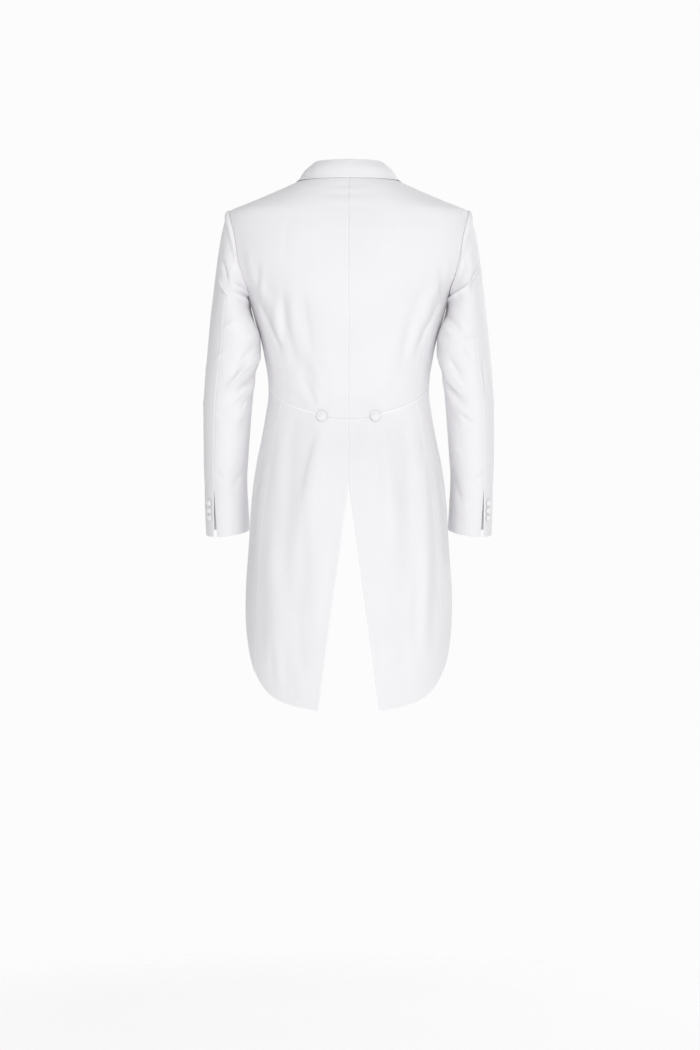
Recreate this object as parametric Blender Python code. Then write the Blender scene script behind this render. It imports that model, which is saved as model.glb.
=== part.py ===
"""White dress tailcoat with a cut-away front, hollow and open as it is when worn.

Metres, +Z up. The coat faces -Y and the wearer's left is +X. The origin lies between the two
points where the shoulder seams meet the neck, which is where the coat hangs on the wearer.

Every cloth piece is a thin wall cut out of one of two surfaces. The body surface is a stack of
level rings, and a point on it is given by a turn round the ring (0 at the centre back, 90 degrees
at the side or shoulder, 180 degrees at the centre front) and a height. The sleeve surface is a
tube that starts on the armhole. Pieces that meet at a seam use the same points along it.
"""

import math

import bmesh
import bpy
import numpy as np

# Cloth and seams
WALL = 0.0018
SEAM_GAP = 0.0005
LAYER_GAP = 0.0014

# Body
RING_POWER = 2.5
NECK_BACK_HEIGHT = 0.008
SHOULDER_TIP_HEIGHT = -0.067
VENT_TOP_HEIGHT = -0.593
VENT_HALF_OPENING = 0.058
FRONT_HEM_AT_SIDE = -0.487
FRONT_POINT_HEIGHT = -0.512

# Armhole, seen from the side
ARMHOLE_CENTRE_HEIGHT = -0.1565
ARMHOLE_HALF_HEIGHT = 0.0895
ARMHOLE_HALF_DEPTH = 0.055
ARMHOLE_FORWARD_SHIFT = -0.006
HIND_SEAM_TURN = 84.0
SIDE_BACK_TURN = 144.0
UNDERARM_TURN = 200.0
FORE_SEAM_TURN = 235.0

# Sleeve
SLEEVE_RING_HEIGHT = -0.300
CUFF_HEIGHT = -0.682
CUFF_DROP_BACK = 0.18
CUFF_DROP_OUTSIDE = 0.12
CUFF_VENT_HEIGHT = -0.593
CUFF_VENT_GAP = 0.0035

# Grid cells of each piece
CELLS_ARMHOLE = {"back_upper": 6, "back_lower": 4, "under": 4, "front_lower": 2, "front_upper": 8}
CELLS_SIDE_SEAM = 8
CELLS_NECK = 4
CELLS_SHOULDER = 8
CELLS_STRAP = 3
CELLS_BELOW_BREAK = 3
CELLS_ABOVE_GORGE = 4
CELLS_TAIL = 16
CELLS_CAP = 8
CELLS_TUBE = 11
CELLS_LAPEL_ROWS = 14
CELLS_GORGE = 5
CELLS_PEAK = 3
CELLS_COLLAR_BACK = 7
CELLS_COLLAR_FRONT = 8

# Buttons
BUTTON_RADIUS = 0.0100
CUFF_BUTTON_RADIUS = 0.0066
BUTTON_STAND = 0.0007
BUTTON_SEGMENTS = 12


def table(columns, rows, scale=0.001):
    """A dict of column name to array, from rows written in millimetres or degrees."""
    values = np.array(rows, float)
    return {name: values[:, i] * (1.0 if name.endswith("deg") else scale) for i, name in enumerate(columns.split())}


# One row for each level ring of the body
BODY = table(
    "height half_width back front",
    [
        (12, 66, 52, 26),
        (0, 78, 58, 30),
        (-9, 94, 63, 36),
        (-18, 113, 69, 42),
        (-28, 135, 75, 49),
        (-38, 158, 80, 57),
        (-48, 182, 85, 66),
        (-58, 207, 89, 76),
        (-67, 227, 92, 84),
        (-80, 236, 96, 93.5),
        (-110, 239.5, 104, 111),
        (-150, 236, 110, 123.5),
        (-190, 220, 112, 130),
        (-220, 201, 110, 132),
        (-246, 189, 107, 133),
        (-280, 179, 102, 132),
        (-310, 169, 97, 130),
        (-345, 161, 92, 128),
        (-385, 155, 88, 126),
        (-415, 153.5, 87, 125),
        (-458, 159, 92, 127),
        (-500, 166.5, 101, 130),
        (-545, 175.5, 113, 132),
        (-590, 182, 122, 134),
        (-640, 187, 128, 134),
        (-700, 191, 130, 132),
        (-780, 196.5, 129, 130),
        (-860, 199, 126, 128),
        (-950, 200, 122, 126),
        (-1040, 200, 118, 124),
    ],
)

# Seams and edges on the body surface, each by its turn round the ring or its distance from the middle
WAIST_SEAM = table(
    "turn_deg height",
    [(0, -468), (10.6, -465), (17.6, -457), (29, -449), (43, -438.5), (58, -425.5), (75, -412), (90, -407), (106, -406)],
)
SIDE_BACK_SEAM = table(
    "height out",
    [(-229, 191), (-246, 181.5), (-276, 163), (-312, 152), (-345, 141.5), (-385, 133.5), (-426, 127.5)],
)
SKIRT_SEAM = table(
    "height out",
    [(-426, 127.5), (-485, 141), (-519, 145.5), (-553, 151.5), (-610, 158), (-693, 166.5), (-776, 172.5), (-842, 176.5), (-948, 178.5)],
)
UNDERARM_SEAM = table("height turn_deg", [(-240, 100.7), (-300, 103.5), (-406, 106), (-490, 106)])
TAIL_FRONT_EDGE = table(
    "height turn_deg",
    [(-406, 106), (-490, 106), (-560, 103), (-650, 98), (-740, 93), (-793, 88), (-857, 80), (-890, 74), (-922, 67.5), (-948, 61.2)],
)
TAIL_HEM = table("turn_deg height", [(12.1, -1020), (28, -1009.5), (38.9, -998), (47, -984), (54, -967), (60.4, -948)])
FRONT_EDGE = table(
    "height out",
    [(0, 78), (-30, 80), (-66, 84), (-100, 86), (-200, 84), (-300, 74), (-400, 60), (-440, 56), (-512, 49)],
)

# One row for each level of the sleeve below the cap
SLEEVE = table(
    "height inside outside middle half_depth hind_seam_deg",
    [
        (-290, 177.5, 266.5, 4, 69, 66.5),
        (-300, 174.5, 267.5, 4, 68, 66),
        (-322, 171, 269.5, 5, 66, 65),
        (-345, 172, 271.5, 6, 64, 64),
        (-385, 179.5, 275, 7, 59, 62),
        (-420, 183.5, 277.5, 4, 56, 61),
        (-460, 187, 279, -1, 54.5, 60),
        (-500, 190, 279, -8, 53, 59),
        (-540, 193, 279, -15, 51.5, 58.5),
        (-580, 195.5, 278, -23, 50, 58),
        (-620, 194.5, 277, -31, 49, 58),
        (-700, 190, 274.5, -46, 48, 58),
    ],
)

# Start of each lengthwise line of the sleeve: how far it first runs outwards and upwards
CAP_START = table(
    "turn_deg outwards upwards",
    [(0, 45, 8), (60, 43, -24), (120, 24, -50), (180, 12, -60), (240, 22, -50), (300, 36, -25), (360, 45, 8)],
)

# Collar, by its share of the way from the centre back (0) over the shoulder (500) to the gorge (1000).
# Round the neck its fold line and outer edge are rings, and in front of the shoulder they are lines.
COLLAR_HEIGHTS = table("share fold edge", [(0, 28, -6.5), (150, 27.5, -6.5), (300, 26.5, -7), (420, 24, -7.8), (500, 20, -8.5)])
COLLAR_FOLD_RING = (0.0665, 0.046)
COLLAR_EDGE_RING = (0.0985, 0.0650)
COLLAR_FOLD_FRONT = table("share x y height", [(500, 66.5, 0, 20), (650, 73, -28, 2), (1000, 82, -66, -46)])
COLLAR_EDGE_RUN = table("share x y height", [(500, 98.5, 0, -8.5), (650, 113, -28, -24), (1000, 122, -60, -94)])
# The same edge on the front, by height and distance from the middle
COLLAR_EDGE_FRONT = table(
    "share out height",
    [(0, 100, -11.5), (500, 100, -11.5), (650, 113, -28), (800, 126, -52), (920, 133, -78), (1000, 122, -94)],
)
GORGE_START = (0.082, -0.050)
GORGE_END = (0.122, -0.094)
PEAK_TIP = (0.181, -0.074)
LAPEL_BREAK_HEIGHT = -0.400
LAPEL_BREAK_WIDTH = 0.007
LAPEL_EDGE = table(
    "height out",
    [(-74, 181), (-100, 173.5), (-140, 162), (-190, 147), (-250, 127), (-320, 100), (-370, 79), (-400, 67)],
)
# The turned edge that wraps a sheet round the roll line: distance into the panel and height over it
ROLL_WRAP = [(-0.0027, -0.0012), (-0.0043, 0.0014), (-0.0029, 0.0042)]
ROLL_HEIGHT = 0.0054
LEAF_EDGE_HEIGHT = WALL + LAYER_GAP

# Largest folds of the body, each along a straight line on the surface; height over it in millimetres
BODY_FOLDS = table(
    "turn_from_deg height_from turn_to_deg height_to half_width swell",
    [
        (52, -215, 44, -330, 14, 3.0),
        (40, -235, 36, -350, 12, -2.2),
        (62, -250, 50, -330, 9, -2.4),
        (28, -300, 20, -430, 20, 1.8),
        (17, -475, 22, -760, 17, 3.2),
        (36, -500, 30, -800, 18, -3.6),
        (48, -560, 44, -880, 16, 3.4),
        (22, -700, 25, -960, 16, -2.2),
        (125, -200, 120, -400, 22, 2.4),
        (112, -260, 114, -400, 12, -2.2),
    ],
)
# Largest folds of the sleeve, in the same way, by turn round the sleeve
SLEEVE_FOLDS = table(
    "turn_from_deg height_from turn_to_deg height_to half_width swell",
    [
        (180, -335, 105, -400, 10, 3.4),
        (175, -370, 110, -430, 9, -2.6),
        (170, -395, 115, -465, 9, 2.6),
        (190, -355, 226, -378, 10, 3.0),
        (195, -385, 227, -408, 9, -2.4),
        (150, -235, 60, -215, 9, 2.6),
        (150, -262, 70, -262, 9, -2.4),
        (20, -225, -20, -275, 10, -2.6),
    ],
)


def smooth(at, xs, ys):
    """Value at each place of a smooth curve through (xs, ys) that never overshoots between two rows."""
    order = np.argsort(xs)
    xs, ys = np.asarray(xs)[order], np.asarray(ys)[order]
    step = np.diff(xs)
    slope = np.diff(ys) / step
    knots = np.zeros(len(xs))
    knots[0], knots[-1] = slope[0], slope[-1]
    same_way = slope[:-1] * slope[1:] > 0
    weight_a, weight_b = 2 * step[1:] + step[:-1], step[1:] + 2 * step[:-1]
    with np.errstate(divide="ignore", invalid="ignore"):
        mean = (weight_a + weight_b) / (weight_a / slope[:-1] + weight_b / slope[1:])
    knots[1:-1] = np.where(same_way, mean, 0.0)
    at = np.clip(np.asarray(at, float), xs[0], xs[-1])
    i = np.clip(np.searchsorted(xs, at, side="right") - 1, 0, len(xs) - 2)
    h, t = step[i], (at - xs[i]) / step[i]
    return (
        ys[i] * (1 + 2 * t) * (1 - t) ** 2
        + h * knots[i] * t * (1 - t) ** 2
        + ys[i + 1] * t * t * (3 - 2 * t)
        + h * knots[i + 1] * t * t * (t - 1)
    )


def read(name_table, key, value, at):
    """Column value of a table at the given places of its column key."""
    return smooth(at, name_table[key], name_table[value])


def unit(vectors):
    """Vectors of length one."""
    return vectors / np.maximum(np.linalg.norm(vectors, axis=-1, keepdims=True), 1e-12)


def fold_swell(folds, turn, height, radius):
    """How far the folds lift a point off the plain surface: a soft ridge or trough along each line."""
    lift = np.zeros(np.broadcast(turn, height).shape)
    for k in range(len(folds["swell"])):
        start = np.array([radius * math.radians(folds["turn_from_deg"][k]), folds["height_from"][k]])
        end = np.array([radius * math.radians(folds["turn_to_deg"][k]), folds["height_to"][k]])
        along = end - start
        place = np.stack(np.broadcast_arrays(radius * turn, height), axis=-1) - start
        share = place @ along / (along @ along)
        across = (place[..., 0] * along[1] - place[..., 1] * along[0]) / np.linalg.norm(along)
        fade = np.clip(1 - (2 * np.clip(share, -0.25, 1.25) - 1) ** 4 / 3.2, 0, 1)
        inside = (share > -0.25) & (share < 1.25)
        lift += np.where(inside, folds["swell"][k] * fade * np.exp(-((across / folds["half_width"][k]) ** 2)), 0)
    return lift


def body_surface(turn, height):
    """Points of the body surface: a superellipse ring at each height, with the soft folds on it."""
    half_width = read(BODY, "height", "half_width", height)
    sine, cosine = np.sin(turn), np.cos(turn)
    depth = ring_depth(cosine, height)
    lift = fold_swell(BODY_FOLDS, turn, height, 0.15)
    out = half_width * np.sign(sine) * np.abs(sine) ** (2 / RING_POWER)
    return np.stack([out + lift * sine, depth * cosine + lift * cosine, height + 0 * turn], axis=-1)


def normals_of(surface, first, second):
    """Unit normals of a surface given by two parameters, from its slopes."""
    step = 1e-4
    along = surface(first + step, second) - surface(first - step, second)
    across = surface(first, second + step) - surface(first, second - step)
    return unit(np.cross(across, along))


def body_point(turn, height, lift=0.0):
    """Point and outward normal on the body surface, moved out by lift."""
    turn, height = np.broadcast_arrays(np.asarray(turn, float), np.asarray(height, float))
    normal = normals_of(body_surface, turn, height)
    return body_surface(turn, height) + normal * np.expand_dims(lift, -1), normal


def turn_at(out, height, front=False):
    """Turn round the ring at which the surface is this far from the middle."""
    half_width = read(BODY, "height", "half_width", height)
    turn = np.arcsin(np.clip(np.asarray(out) / half_width, 0, 1) ** (RING_POWER / 2))
    return np.pi - turn if front else turn


def armhole(turn_deg):
    """(turn, height) on the body surface of the armhole's points, from the shoulder tip round the back."""
    angle = np.radians(turn_deg)
    y = ARMHOLE_FORWARD_SHIFT * (1 - np.cos(angle)) / 2 + ARMHOLE_HALF_DEPTH * np.sin(angle)
    height = ARMHOLE_CENTRE_HEIGHT + ARMHOLE_HALF_HEIGHT * np.cos(angle)
    depth = ring_depth(y, height)
    return np.stack([np.arccos(np.clip(y / depth, -1, 1)), height], axis=-1)


def armhole_turns(*parts):
    """Turns of the armhole's points over the named stretches, in order."""
    ends = {
        "back_upper": (0.0, HIND_SEAM_TURN),
        "back_lower": (HIND_SEAM_TURN, SIDE_BACK_TURN),
        "under": (SIDE_BACK_TURN, UNDERARM_TURN),
        "front_lower": (UNDERARM_TURN, FORE_SEAM_TURN),
        "front_upper": (FORE_SEAM_TURN, 360.0),
    }
    turns = [np.linspace(*ends[p], CELLS_ARMHOLE[p] + 1)[:-1] for p in parts]
    return np.concatenate([*turns, [ends[parts[-1]][1]]])


def line(start, end, cells):
    """Evenly spaced points from start to end."""
    return np.linspace(np.asarray(start, float), np.asarray(end, float), cells + 1)


def coons(bottom, top, left, right):
    """Grid between four edges that share their corners. Rows run from bottom to top, columns from left to right."""
    t = np.linspace(0, 1, len(bottom))[None, :, None]
    s = np.linspace(0, 1, len(left))[:, None, None]
    ruled = (1 - s) * bottom[None] + s * top[None] + (1 - t) * left[:, None] + t * right[:, None]
    corners = (1 - s) * ((1 - t) * bottom[0] + t * bottom[-1]) + s * ((1 - t) * top[0] + t * top[-1])
    return ruled - corners


def seen_from_above(edge, tilt=0.4):
    """(out, drop) of (turn, height) points, as they look from a place above and before the panel."""
    turn, height = edge[..., 0], edge[..., 1]
    out = read(BODY, "height", "half_width", height) * np.abs(np.sin(turn)) ** (2 / RING_POWER)
    return np.stack([out, height - tilt * ring_depth(np.cos(turn), height) * np.abs(np.cos(turn))], axis=-1)


def ring_depth(cosine, height):
    """Depth of the ring behind the middle, or before it where the cosine is negative."""
    return np.where(cosine >= 0, read(BODY, "height", "back", height), read(BODY, "height", "front", height))


def shoulder_grid(bottom, top, left, right, front, tilt=0.4):
    """Grid of (turn, height) between four edges of a panel that reaches the shoulder, laid out as seen from above."""
    seen = coons(*(seen_from_above(edge) for edge in (bottom, top, left, right)))
    out, drop = np.maximum(seen[..., 0], 0), seen[..., 1]
    low, high = np.full(out.shape, -0.60), np.full(out.shape, 0.012)
    sign = -1.0 if front else 1.0
    for _ in range(40):
        middle = (low + high) / 2
        share = np.clip(out / read(BODY, "height", "half_width", middle), 0, 1)
        depth = ring_depth(sign, middle) * np.sqrt(1 - share**RING_POWER)
        above = middle - tilt * depth > drop
        low, high = np.where(above, low, middle), np.where(above, middle, high)
    grid = np.stack([turn_at(out, low, front=front), low], axis=-1)
    grid[0], grid[-1], grid[:, 0], grid[:, -1] = bottom, top, left, right
    return grid


def inset(points, normals, edges, distance=SEAM_GAP / 2):
    """Grid with the named edges moved in along the cloth, so that a seam keeps its gap."""
    moved = points.copy()
    sides = {
        "bottom": (np.s_[0, :], np.s_[1, :]),
        "top": (np.s_[-1, :], np.s_[-2, :]),
        "left": (np.s_[:, 0], np.s_[:, 1]),
        "right": (np.s_[:, -1], np.s_[:, -2]),
    }
    for name in edges:
        edge, beside = sides[name]
        tangent = unit(np.gradient(points[edge], axis=0))
        inward = unit(np.cross(normals[edge], tangent))
        inward *= np.sign(np.sum(inward * (points[beside] - points[edge])))
        moved[edge] += inward * distance
    return moved


def closed_mesh(name, points, faces):
    """Mesh object whose faces point outwards."""
    mesh = bpy.data.meshes.new(name)
    mesh.from_pydata([tuple(p) for p in points], [], faces)
    shape = bmesh.new()
    shape.from_mesh(mesh)
    bmesh.ops.recalc_face_normals(shape, faces=shape.faces)
    shape.to_mesh(mesh)
    shape.free()
    mesh.shade_smooth()
    mesh.set_sharp_from_angle(angle=math.radians(50))
    made = bpy.data.objects.new(name, mesh)
    bpy.context.scene.collection.objects.link(made)
    return made


def wall(name, outside, inside, material):
    """Closed wall between an outer grid and an inner grid of points."""
    rows, columns = outside.shape[:2]
    index = np.arange(rows * columns).reshape(rows, columns)
    quads = np.stack([index[:-1, :-1], index[1:, :-1], index[1:, 1:], index[:-1, 1:]], axis=-1).reshape(-1, 4)
    faces = [tuple(q) for q in quads] + [tuple(q[::-1] + rows * columns) for q in quads]
    rim = np.concatenate([index[0, :-1], index[:-1, -1], index[-1, :0:-1], index[:0:-1, 0]])
    for a, b in zip(rim, np.roll(rim, -1)):
        faces.append((a, b, b + rows * columns, a + rows * columns))
    made = closed_mesh(name, np.concatenate([outside.reshape(-1, 3), inside.reshape(-1, 3)]), faces)
    made.data.materials.append(material)
    return made


def both_sides(name, outside, inside, material):
    """The left piece and its mirror image on the right."""
    flip = np.array([-1.0, 1.0, 1.0])
    wall(name + "_left", outside, inside, material)
    wall(name + "_right", outside * flip, inside * flip, material)


def body_panel(name, grid, sewn, material):
    """A left and a right panel of the body from its grid of (turn, height)."""
    points, normals = body_point(grid[..., 0], grid[..., 1])
    outside = inset(points, normals, sewn)
    both_sides(name, outside, outside - WALL * normals, material)


def side_back_seam():
    """Seam between back and side, from the waist up to the armhole."""
    foot = read(SIDE_BACK_SEAM, "height", "out", -0.426)
    foot_turn = turn_at(foot, -0.426)
    foot_height = read(WAIST_SEAM, "turn_deg", "height", math.degrees(foot_turn))
    head = armhole(SIDE_BACK_TURN)
    heights = np.linspace(foot_height, head[1], CELLS_SIDE_SEAM + 1)
    turns = turn_at(read(SIDE_BACK_SEAM, "height", "out", heights), heights)
    turns[-1] = head[0]
    return np.stack([turns, heights], axis=-1)


def underarm_seam():
    """Seam between side and front, from the waist up to the armhole."""
    head = armhole(UNDERARM_TURN)
    foot = read(WAIST_SEAM, "turn_deg", "height", 106.0)
    heights = np.linspace(foot, head[1], CELLS_SIDE_SEAM + 1)
    turns = np.radians(read(UNDERARM_SEAM, "height", "turn_deg", heights))
    turns[-1] = head[0]
    return np.stack([turns, heights], axis=-1)


def waist_seam(turns):
    """Waist seam at the given turns."""
    return np.stack([turns, read(WAIST_SEAM, "turn_deg", "height", np.degrees(turns))], axis=-1)


def strap_edge():
    """Seam between tail and front below the waist, from the front's hem up to the waist."""
    return line((math.radians(106), FRONT_HEM_AT_SIDE), underarm_seam()[0], CELLS_STRAP)


def shoulder_seam():
    """Shoulder seam, from the shoulder tip to the neck point."""
    share = np.linspace(0, 1, CELLS_SHOULDER + 1) ** 1.2
    return np.stack([np.full(share.shape, math.pi / 2), SHOULDER_TIP_HEIGHT * (1 - share)], axis=-1)


def neckline():
    """Back neckline, from the neck point to the centre back."""
    turns = np.linspace(math.pi / 2, 0, CELLS_NECK + 1)
    return np.stack([turns, NECK_BACK_HEIGHT * np.cos(turns) ** 2], axis=-1)


def front_edge(heights):
    """Front edge and roll line at the given heights."""
    return np.stack([turn_at(read(FRONT_EDGE, "height", "out", heights), heights, front=True), heights], axis=-1)


def roll_heights():
    """Heights of the rows on the front edge: below the break of the lapel, along the lapel, and above it."""
    below = np.linspace(FRONT_POINT_HEIGHT, LAPEL_BREAK_HEIGHT, CELLS_BELOW_BREAK + 1)
    lapel = np.linspace(LAPEL_BREAK_HEIGHT, GORGE_START[1], CELLS_LAPEL_ROWS + 1)
    above = np.linspace(GORGE_START[1], 0, CELLS_ABOVE_GORGE + 1)
    return np.concatenate([below[:-1], lapel[:-1], above])


def make_back(material):
    """Back, from the waist seam to the neck and shoulder."""
    seam = side_back_seam()
    up_armhole = armhole(armhole_turns("back_upper", "back_lower"))[::-1]
    right = np.concatenate([seam[:-1], up_armhole])
    top = np.concatenate([shoulder_seam()[:-1], neckline()])[::-1]
    bottom = waist_seam(np.linspace(0, seam[0, 0], CELLS_NECK + CELLS_SHOULDER + 1))
    left = line(bottom[0], top[0], len(right) - 1)
    grid = shoulder_grid(bottom, top, left, right, front=False)
    body_panel("back", grid, ("bottom", "top", "left", "right"), material)


def make_side(material):
    """Side body, between back and front under the armhole."""
    left, right = side_back_seam(), underarm_seam()
    top = armhole(armhole_turns("under"))
    bottom = waist_seam(np.linspace(left[0, 0], right[0, 0], CELLS_ARMHOLE["under"] + 1))
    body_panel("side", coons(bottom, top, left, right), ("bottom", "top", "left", "right"), material)


def make_front(material):
    """Front, from the shoulder seam to the cut-away hem."""
    up_armhole = armhole(armhole_turns("front_lower", "front_upper"))
    left = np.concatenate([strap_edge()[:-1], underarm_seam()[:-1], up_armhole])
    top = shoulder_seam()
    right = front_edge(roll_heights())
    drop = FRONT_POINT_HEIGHT - FRONT_HEM_AT_SIDE
    across = np.linspace(0, 1, CELLS_SHOULDER + 1)
    turns = left[0, 0] + (right[0, 0] - left[0, 0]) * across
    bottom = np.stack([turns, FRONT_HEM_AT_SIDE + drop * across**1.6], axis=-1)
    body_panel("front", shoulder_grid(bottom, top, left, right, front=True), ("top", "left"), material)


def tail_rows(top_left, top_right, foot_left, foot_right):
    """Heights of the rows on the two edges of a tail piece: the first rows match the front's strap."""
    strap = np.linspace(0, 1, CELLS_STRAP + 1)
    rest = np.linspace(0, 1, CELLS_TAIL - CELLS_STRAP + 1)[1:] ** 0.95
    split_left = top_left + FRONT_HEM_AT_SIDE - top_right
    left = np.concatenate([top_left + strap * (split_left - top_left), split_left + rest * (foot_left - split_left)])
    right = np.concatenate([top_right + strap * (FRONT_HEM_AT_SIDE - top_right), FRONT_HEM_AT_SIDE + rest * (foot_right - FRONT_HEM_AT_SIDE)])
    return left[::-1], right[::-1]


def skirt_seam():
    """Seam down the tail, from its foot on the hem up to the waist, and the front edge's heights beside it."""
    head, front_head = side_back_seam()[0], underarm_seam()[0]
    foot = SKIRT_SEAM["height"][-1]
    heights, front_heights = tail_rows(head[1], front_head[1], foot, foot - 0.0005)
    turns = turn_at(read(SKIRT_SEAM, "height", "out", heights), heights)
    turns[-1] = head[0]
    return np.stack([turns, heights], axis=-1), front_heights


def make_tail_back(material):
    """Back of the tail, from the waist seam to the hem, with the centre vent."""
    right, _ = skirt_seam()
    across = np.linspace(0, 1, CELLS_NECK + CELLS_SHOULDER + 1)
    top = waist_seam(right[-1, 0] * across)
    hem_turns = np.radians(TAIL_HEM["turn_deg"][0]) + (right[0, 0] - math.radians(TAIL_HEM["turn_deg"][0])) * across
    bottom = np.stack([hem_turns, read(TAIL_HEM, "turn_deg", "height", np.degrees(hem_turns))], axis=-1)
    bottom[-1] = right[0]
    share = (right[:, 1] - right[0, 1]) / (right[-1, 1] - right[0, 1])
    heights = bottom[0, 1] + share * (top[0, 1] - bottom[0, 1])
    heights[np.argmin(np.abs(heights - VENT_TOP_HEIGHT))] = VENT_TOP_HEIGHT
    opening = VENT_HALF_OPENING * np.clip((VENT_TOP_HEIGHT - heights) / (VENT_TOP_HEIGHT - bottom[0, 1]), 0, 1)
    left = np.stack([turn_at(opening, heights), heights], axis=-1)
    left[0] = bottom[0]
    body_panel("tail_back", coons(bottom, top, left, right), ("top", "left", "right"), material)


def make_tail_side(material):
    """Side of the tail, which wraps the hip and narrows to the hem."""
    left, heights = skirt_seam()
    turns = np.radians(read(TAIL_FRONT_EDGE, "height", "turn_deg", heights))
    right = np.stack([turns, heights], axis=-1)
    right[-1] = underarm_seam()[0]
    cells = CELLS_ARMHOLE["under"]
    top = waist_seam(np.linspace(left[-1, 0], right[-1, 0], cells + 1))
    bottom = line(left[0], right[0], cells)
    body_panel("tail_side", coons(bottom, top, left, right), ("top", "left", "right"), material)


def sleeve_angle(turn_deg, height):
    """Angle round the sleeve of the line that starts at this turn of the armhole; 0 is outwards, 90 back."""
    hind = read(SLEEVE, "height", "hind_seam_deg", height)
    fore = FORE_SEAM_TURN - 360
    over = fore + (turn_deg - fore) * (hind - fore) / (HIND_SEAM_TURN - fore)
    under = hind + (turn_deg - HIND_SEAM_TURN) * (FORE_SEAM_TURN - hind) / (FORE_SEAM_TURN - HIND_SEAM_TURN)
    return np.radians(np.where(turn_deg <= HIND_SEAM_TURN, over, under))


def tube_point(turn_deg, height):
    """Point of the sleeve below the cap: an ellipse at each height, tilted towards the cuff."""
    inside, outside = read(SLEEVE, "height", "inside", height), read(SLEEVE, "height", "outside", height)
    middle, half_depth = read(SLEEVE, "height", "middle", height), read(SLEEVE, "height", "half_depth", height)
    angle = sleeve_angle(turn_deg, height)
    swell = fold_swell(SLEEVE_FOLDS, angle, height, 0.055)
    x = (inside + outside) / 2 + ((outside - inside) / 2 + swell) * np.cos(angle)
    y = middle + (half_depth + swell) * np.sin(angle)
    tilt = np.clip((SLEEVE_RING_HEIGHT - height) / (SLEEVE_RING_HEIGHT - CUFF_HEIGHT), 0, 1) ** 2
    drop = CUFF_DROP_BACK * (y - middle) + CUFF_DROP_OUTSIDE * (x - (inside + outside) / 2)
    return np.stack([x, y, height - tilt * drop], axis=-1)


def sleeve_surface(turn_deg, share):
    """Points of the sleeve. share runs from 0 at the armhole to 1 at the ring under the cap and 2 at the cuff."""
    turn_deg, share = np.broadcast_arrays(np.asarray(turn_deg, float), np.asarray(share, float))
    around = np.mod(turn_deg, 360)
    start = body_surface(*np.moveaxis(armhole(turn_deg), -1, 0))
    ring = tube_point(turn_deg, np.full(turn_deg.shape, SLEEVE_RING_HEIGHT))
    below = tube_point(turn_deg, np.full(turn_deg.shape, SLEEVE_RING_HEIGHT - 0.01))
    outwards, upwards = read(CAP_START, "turn_deg", "outwards", around), read(CAP_START, "turn_deg", "upwards", around)
    leave = np.stack([outwards, np.zeros_like(outwards), upwards], axis=-1)
    arrive = (below - ring) / 0.01 * np.abs(start[..., 2:] - ring[..., 2:])
    t = np.clip(share, 0, 1)[..., None]
    cap = (
        start * (1 + 2 * t) * (1 - t) ** 2
        + leave * t * (1 - t) ** 2
        + ring * t * t * (3 - 2 * t)
        + arrive * t * t * (t - 1)
    )
    height = SLEEVE_RING_HEIGHT + np.clip(share - 1, 0, 1.2) * (CUFF_HEIGHT - SLEEVE_RING_HEIGHT)
    return np.where(share[..., None] <= 1, cap, tube_point(turn_deg, height))


def sleeve_shares():
    """Rows of the sleeve, closer together at the armhole; one row lies at the top of the cuff vent."""
    cap = np.linspace(0, 1, CELLS_CAP + 1)[:-1] ** 1.15
    tube = np.linspace(1, 2, CELLS_TUBE + 1)
    vent = 1 + (CUFF_VENT_HEIGHT - SLEEVE_RING_HEIGHT) / (CUFF_HEIGHT - SLEEVE_RING_HEIGHT)
    tube[np.argmin(np.abs(tube - vent))] = vent
    return np.concatenate([cap, tube])[::-1], vent


def make_sleeve(name, parts, hind_column, material):
    """One half of the sleeve, with its edge parted from the other half below the top of the cuff vent."""
    turns = armhole_turns(*parts)
    if name == "sleeve_top":
        turns = np.where(np.arange(len(turns)) < CELLS_ARMHOLE["front_upper"], turns - 360, turns)
    shares, vent = sleeve_shares()
    grid_turns, grid_shares = np.meshgrid(turns, shares)
    points = sleeve_surface(grid_turns, grid_shares)
    step = 1e-3
    around = sleeve_surface(grid_turns + step, grid_shares) - sleeve_surface(grid_turns - step, grid_shares)
    ahead = np.clip(grid_shares + step, 0, 2.1)
    behind = np.clip(grid_shares - step, 0, 2.1)
    normals = unit(np.cross(sleeve_surface(grid_turns, ahead) - sleeve_surface(grid_turns, behind), around))
    outside = inset(points, normals, ("top", "left", "right"), 0.8 * SEAM_GAP)
    open_share = np.clip((shares - vent) / (2 - vent), 0, 1)
    beside = 1 if hind_column == 0 else -2
    inward = unit(points[:, beside] - points[:, hind_column])
    outside[:, hind_column] += inward * (CUFF_VENT_GAP * open_share)[:, None]
    both_sides(name, outside, outside - WALL * normals, material)


def roll_frame(turn, height, beside_turn, beside_height):
    """Edge point, its normal, and the direction along the cloth from the edge, square to it, into the panel."""
    point, normal = body_point(turn, height)
    beside, _ = body_point(beside_turn, beside_height)
    inward = np.cross(normal, np.gradient(point, axis=0))
    inward *= np.sign(np.sum(inward * (beside - point)))
    return point, normal, unit(inward)


def wrapped(point, normal, inward):
    """Columns of a sheet that turns round the roll line, one for each row of ROLL_WRAP."""
    return np.stack([point + inward * d + normal * n for d, n in ROLL_WRAP], axis=-2)


def sheet_normals(points):
    """Unit normals of a grid of points, from the neighbours along its rows and columns."""
    return unit(np.cross(np.gradient(points, axis=1), np.gradient(points, axis=0)))


def gorge_line():
    """(turn, height) of the seam between lapel and collar, from the roll line to the notch."""
    out = np.linspace(GORGE_START[0], GORGE_END[0], CELLS_GORGE + 1)
    heights = np.linspace(GORGE_START[1], GORGE_END[1], CELLS_GORGE + 1)
    return np.stack([turn_at(out, heights, front=True), heights], axis=-1)


def leaf_lift(share):
    """Height of the turned leaf over the front, from the roll line to its outer edge."""
    return ROLL_HEIGHT + (LEAF_EDGE_HEIGHT - ROLL_HEIGHT) * np.clip(share, 0, 1) ** 0.8


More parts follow.
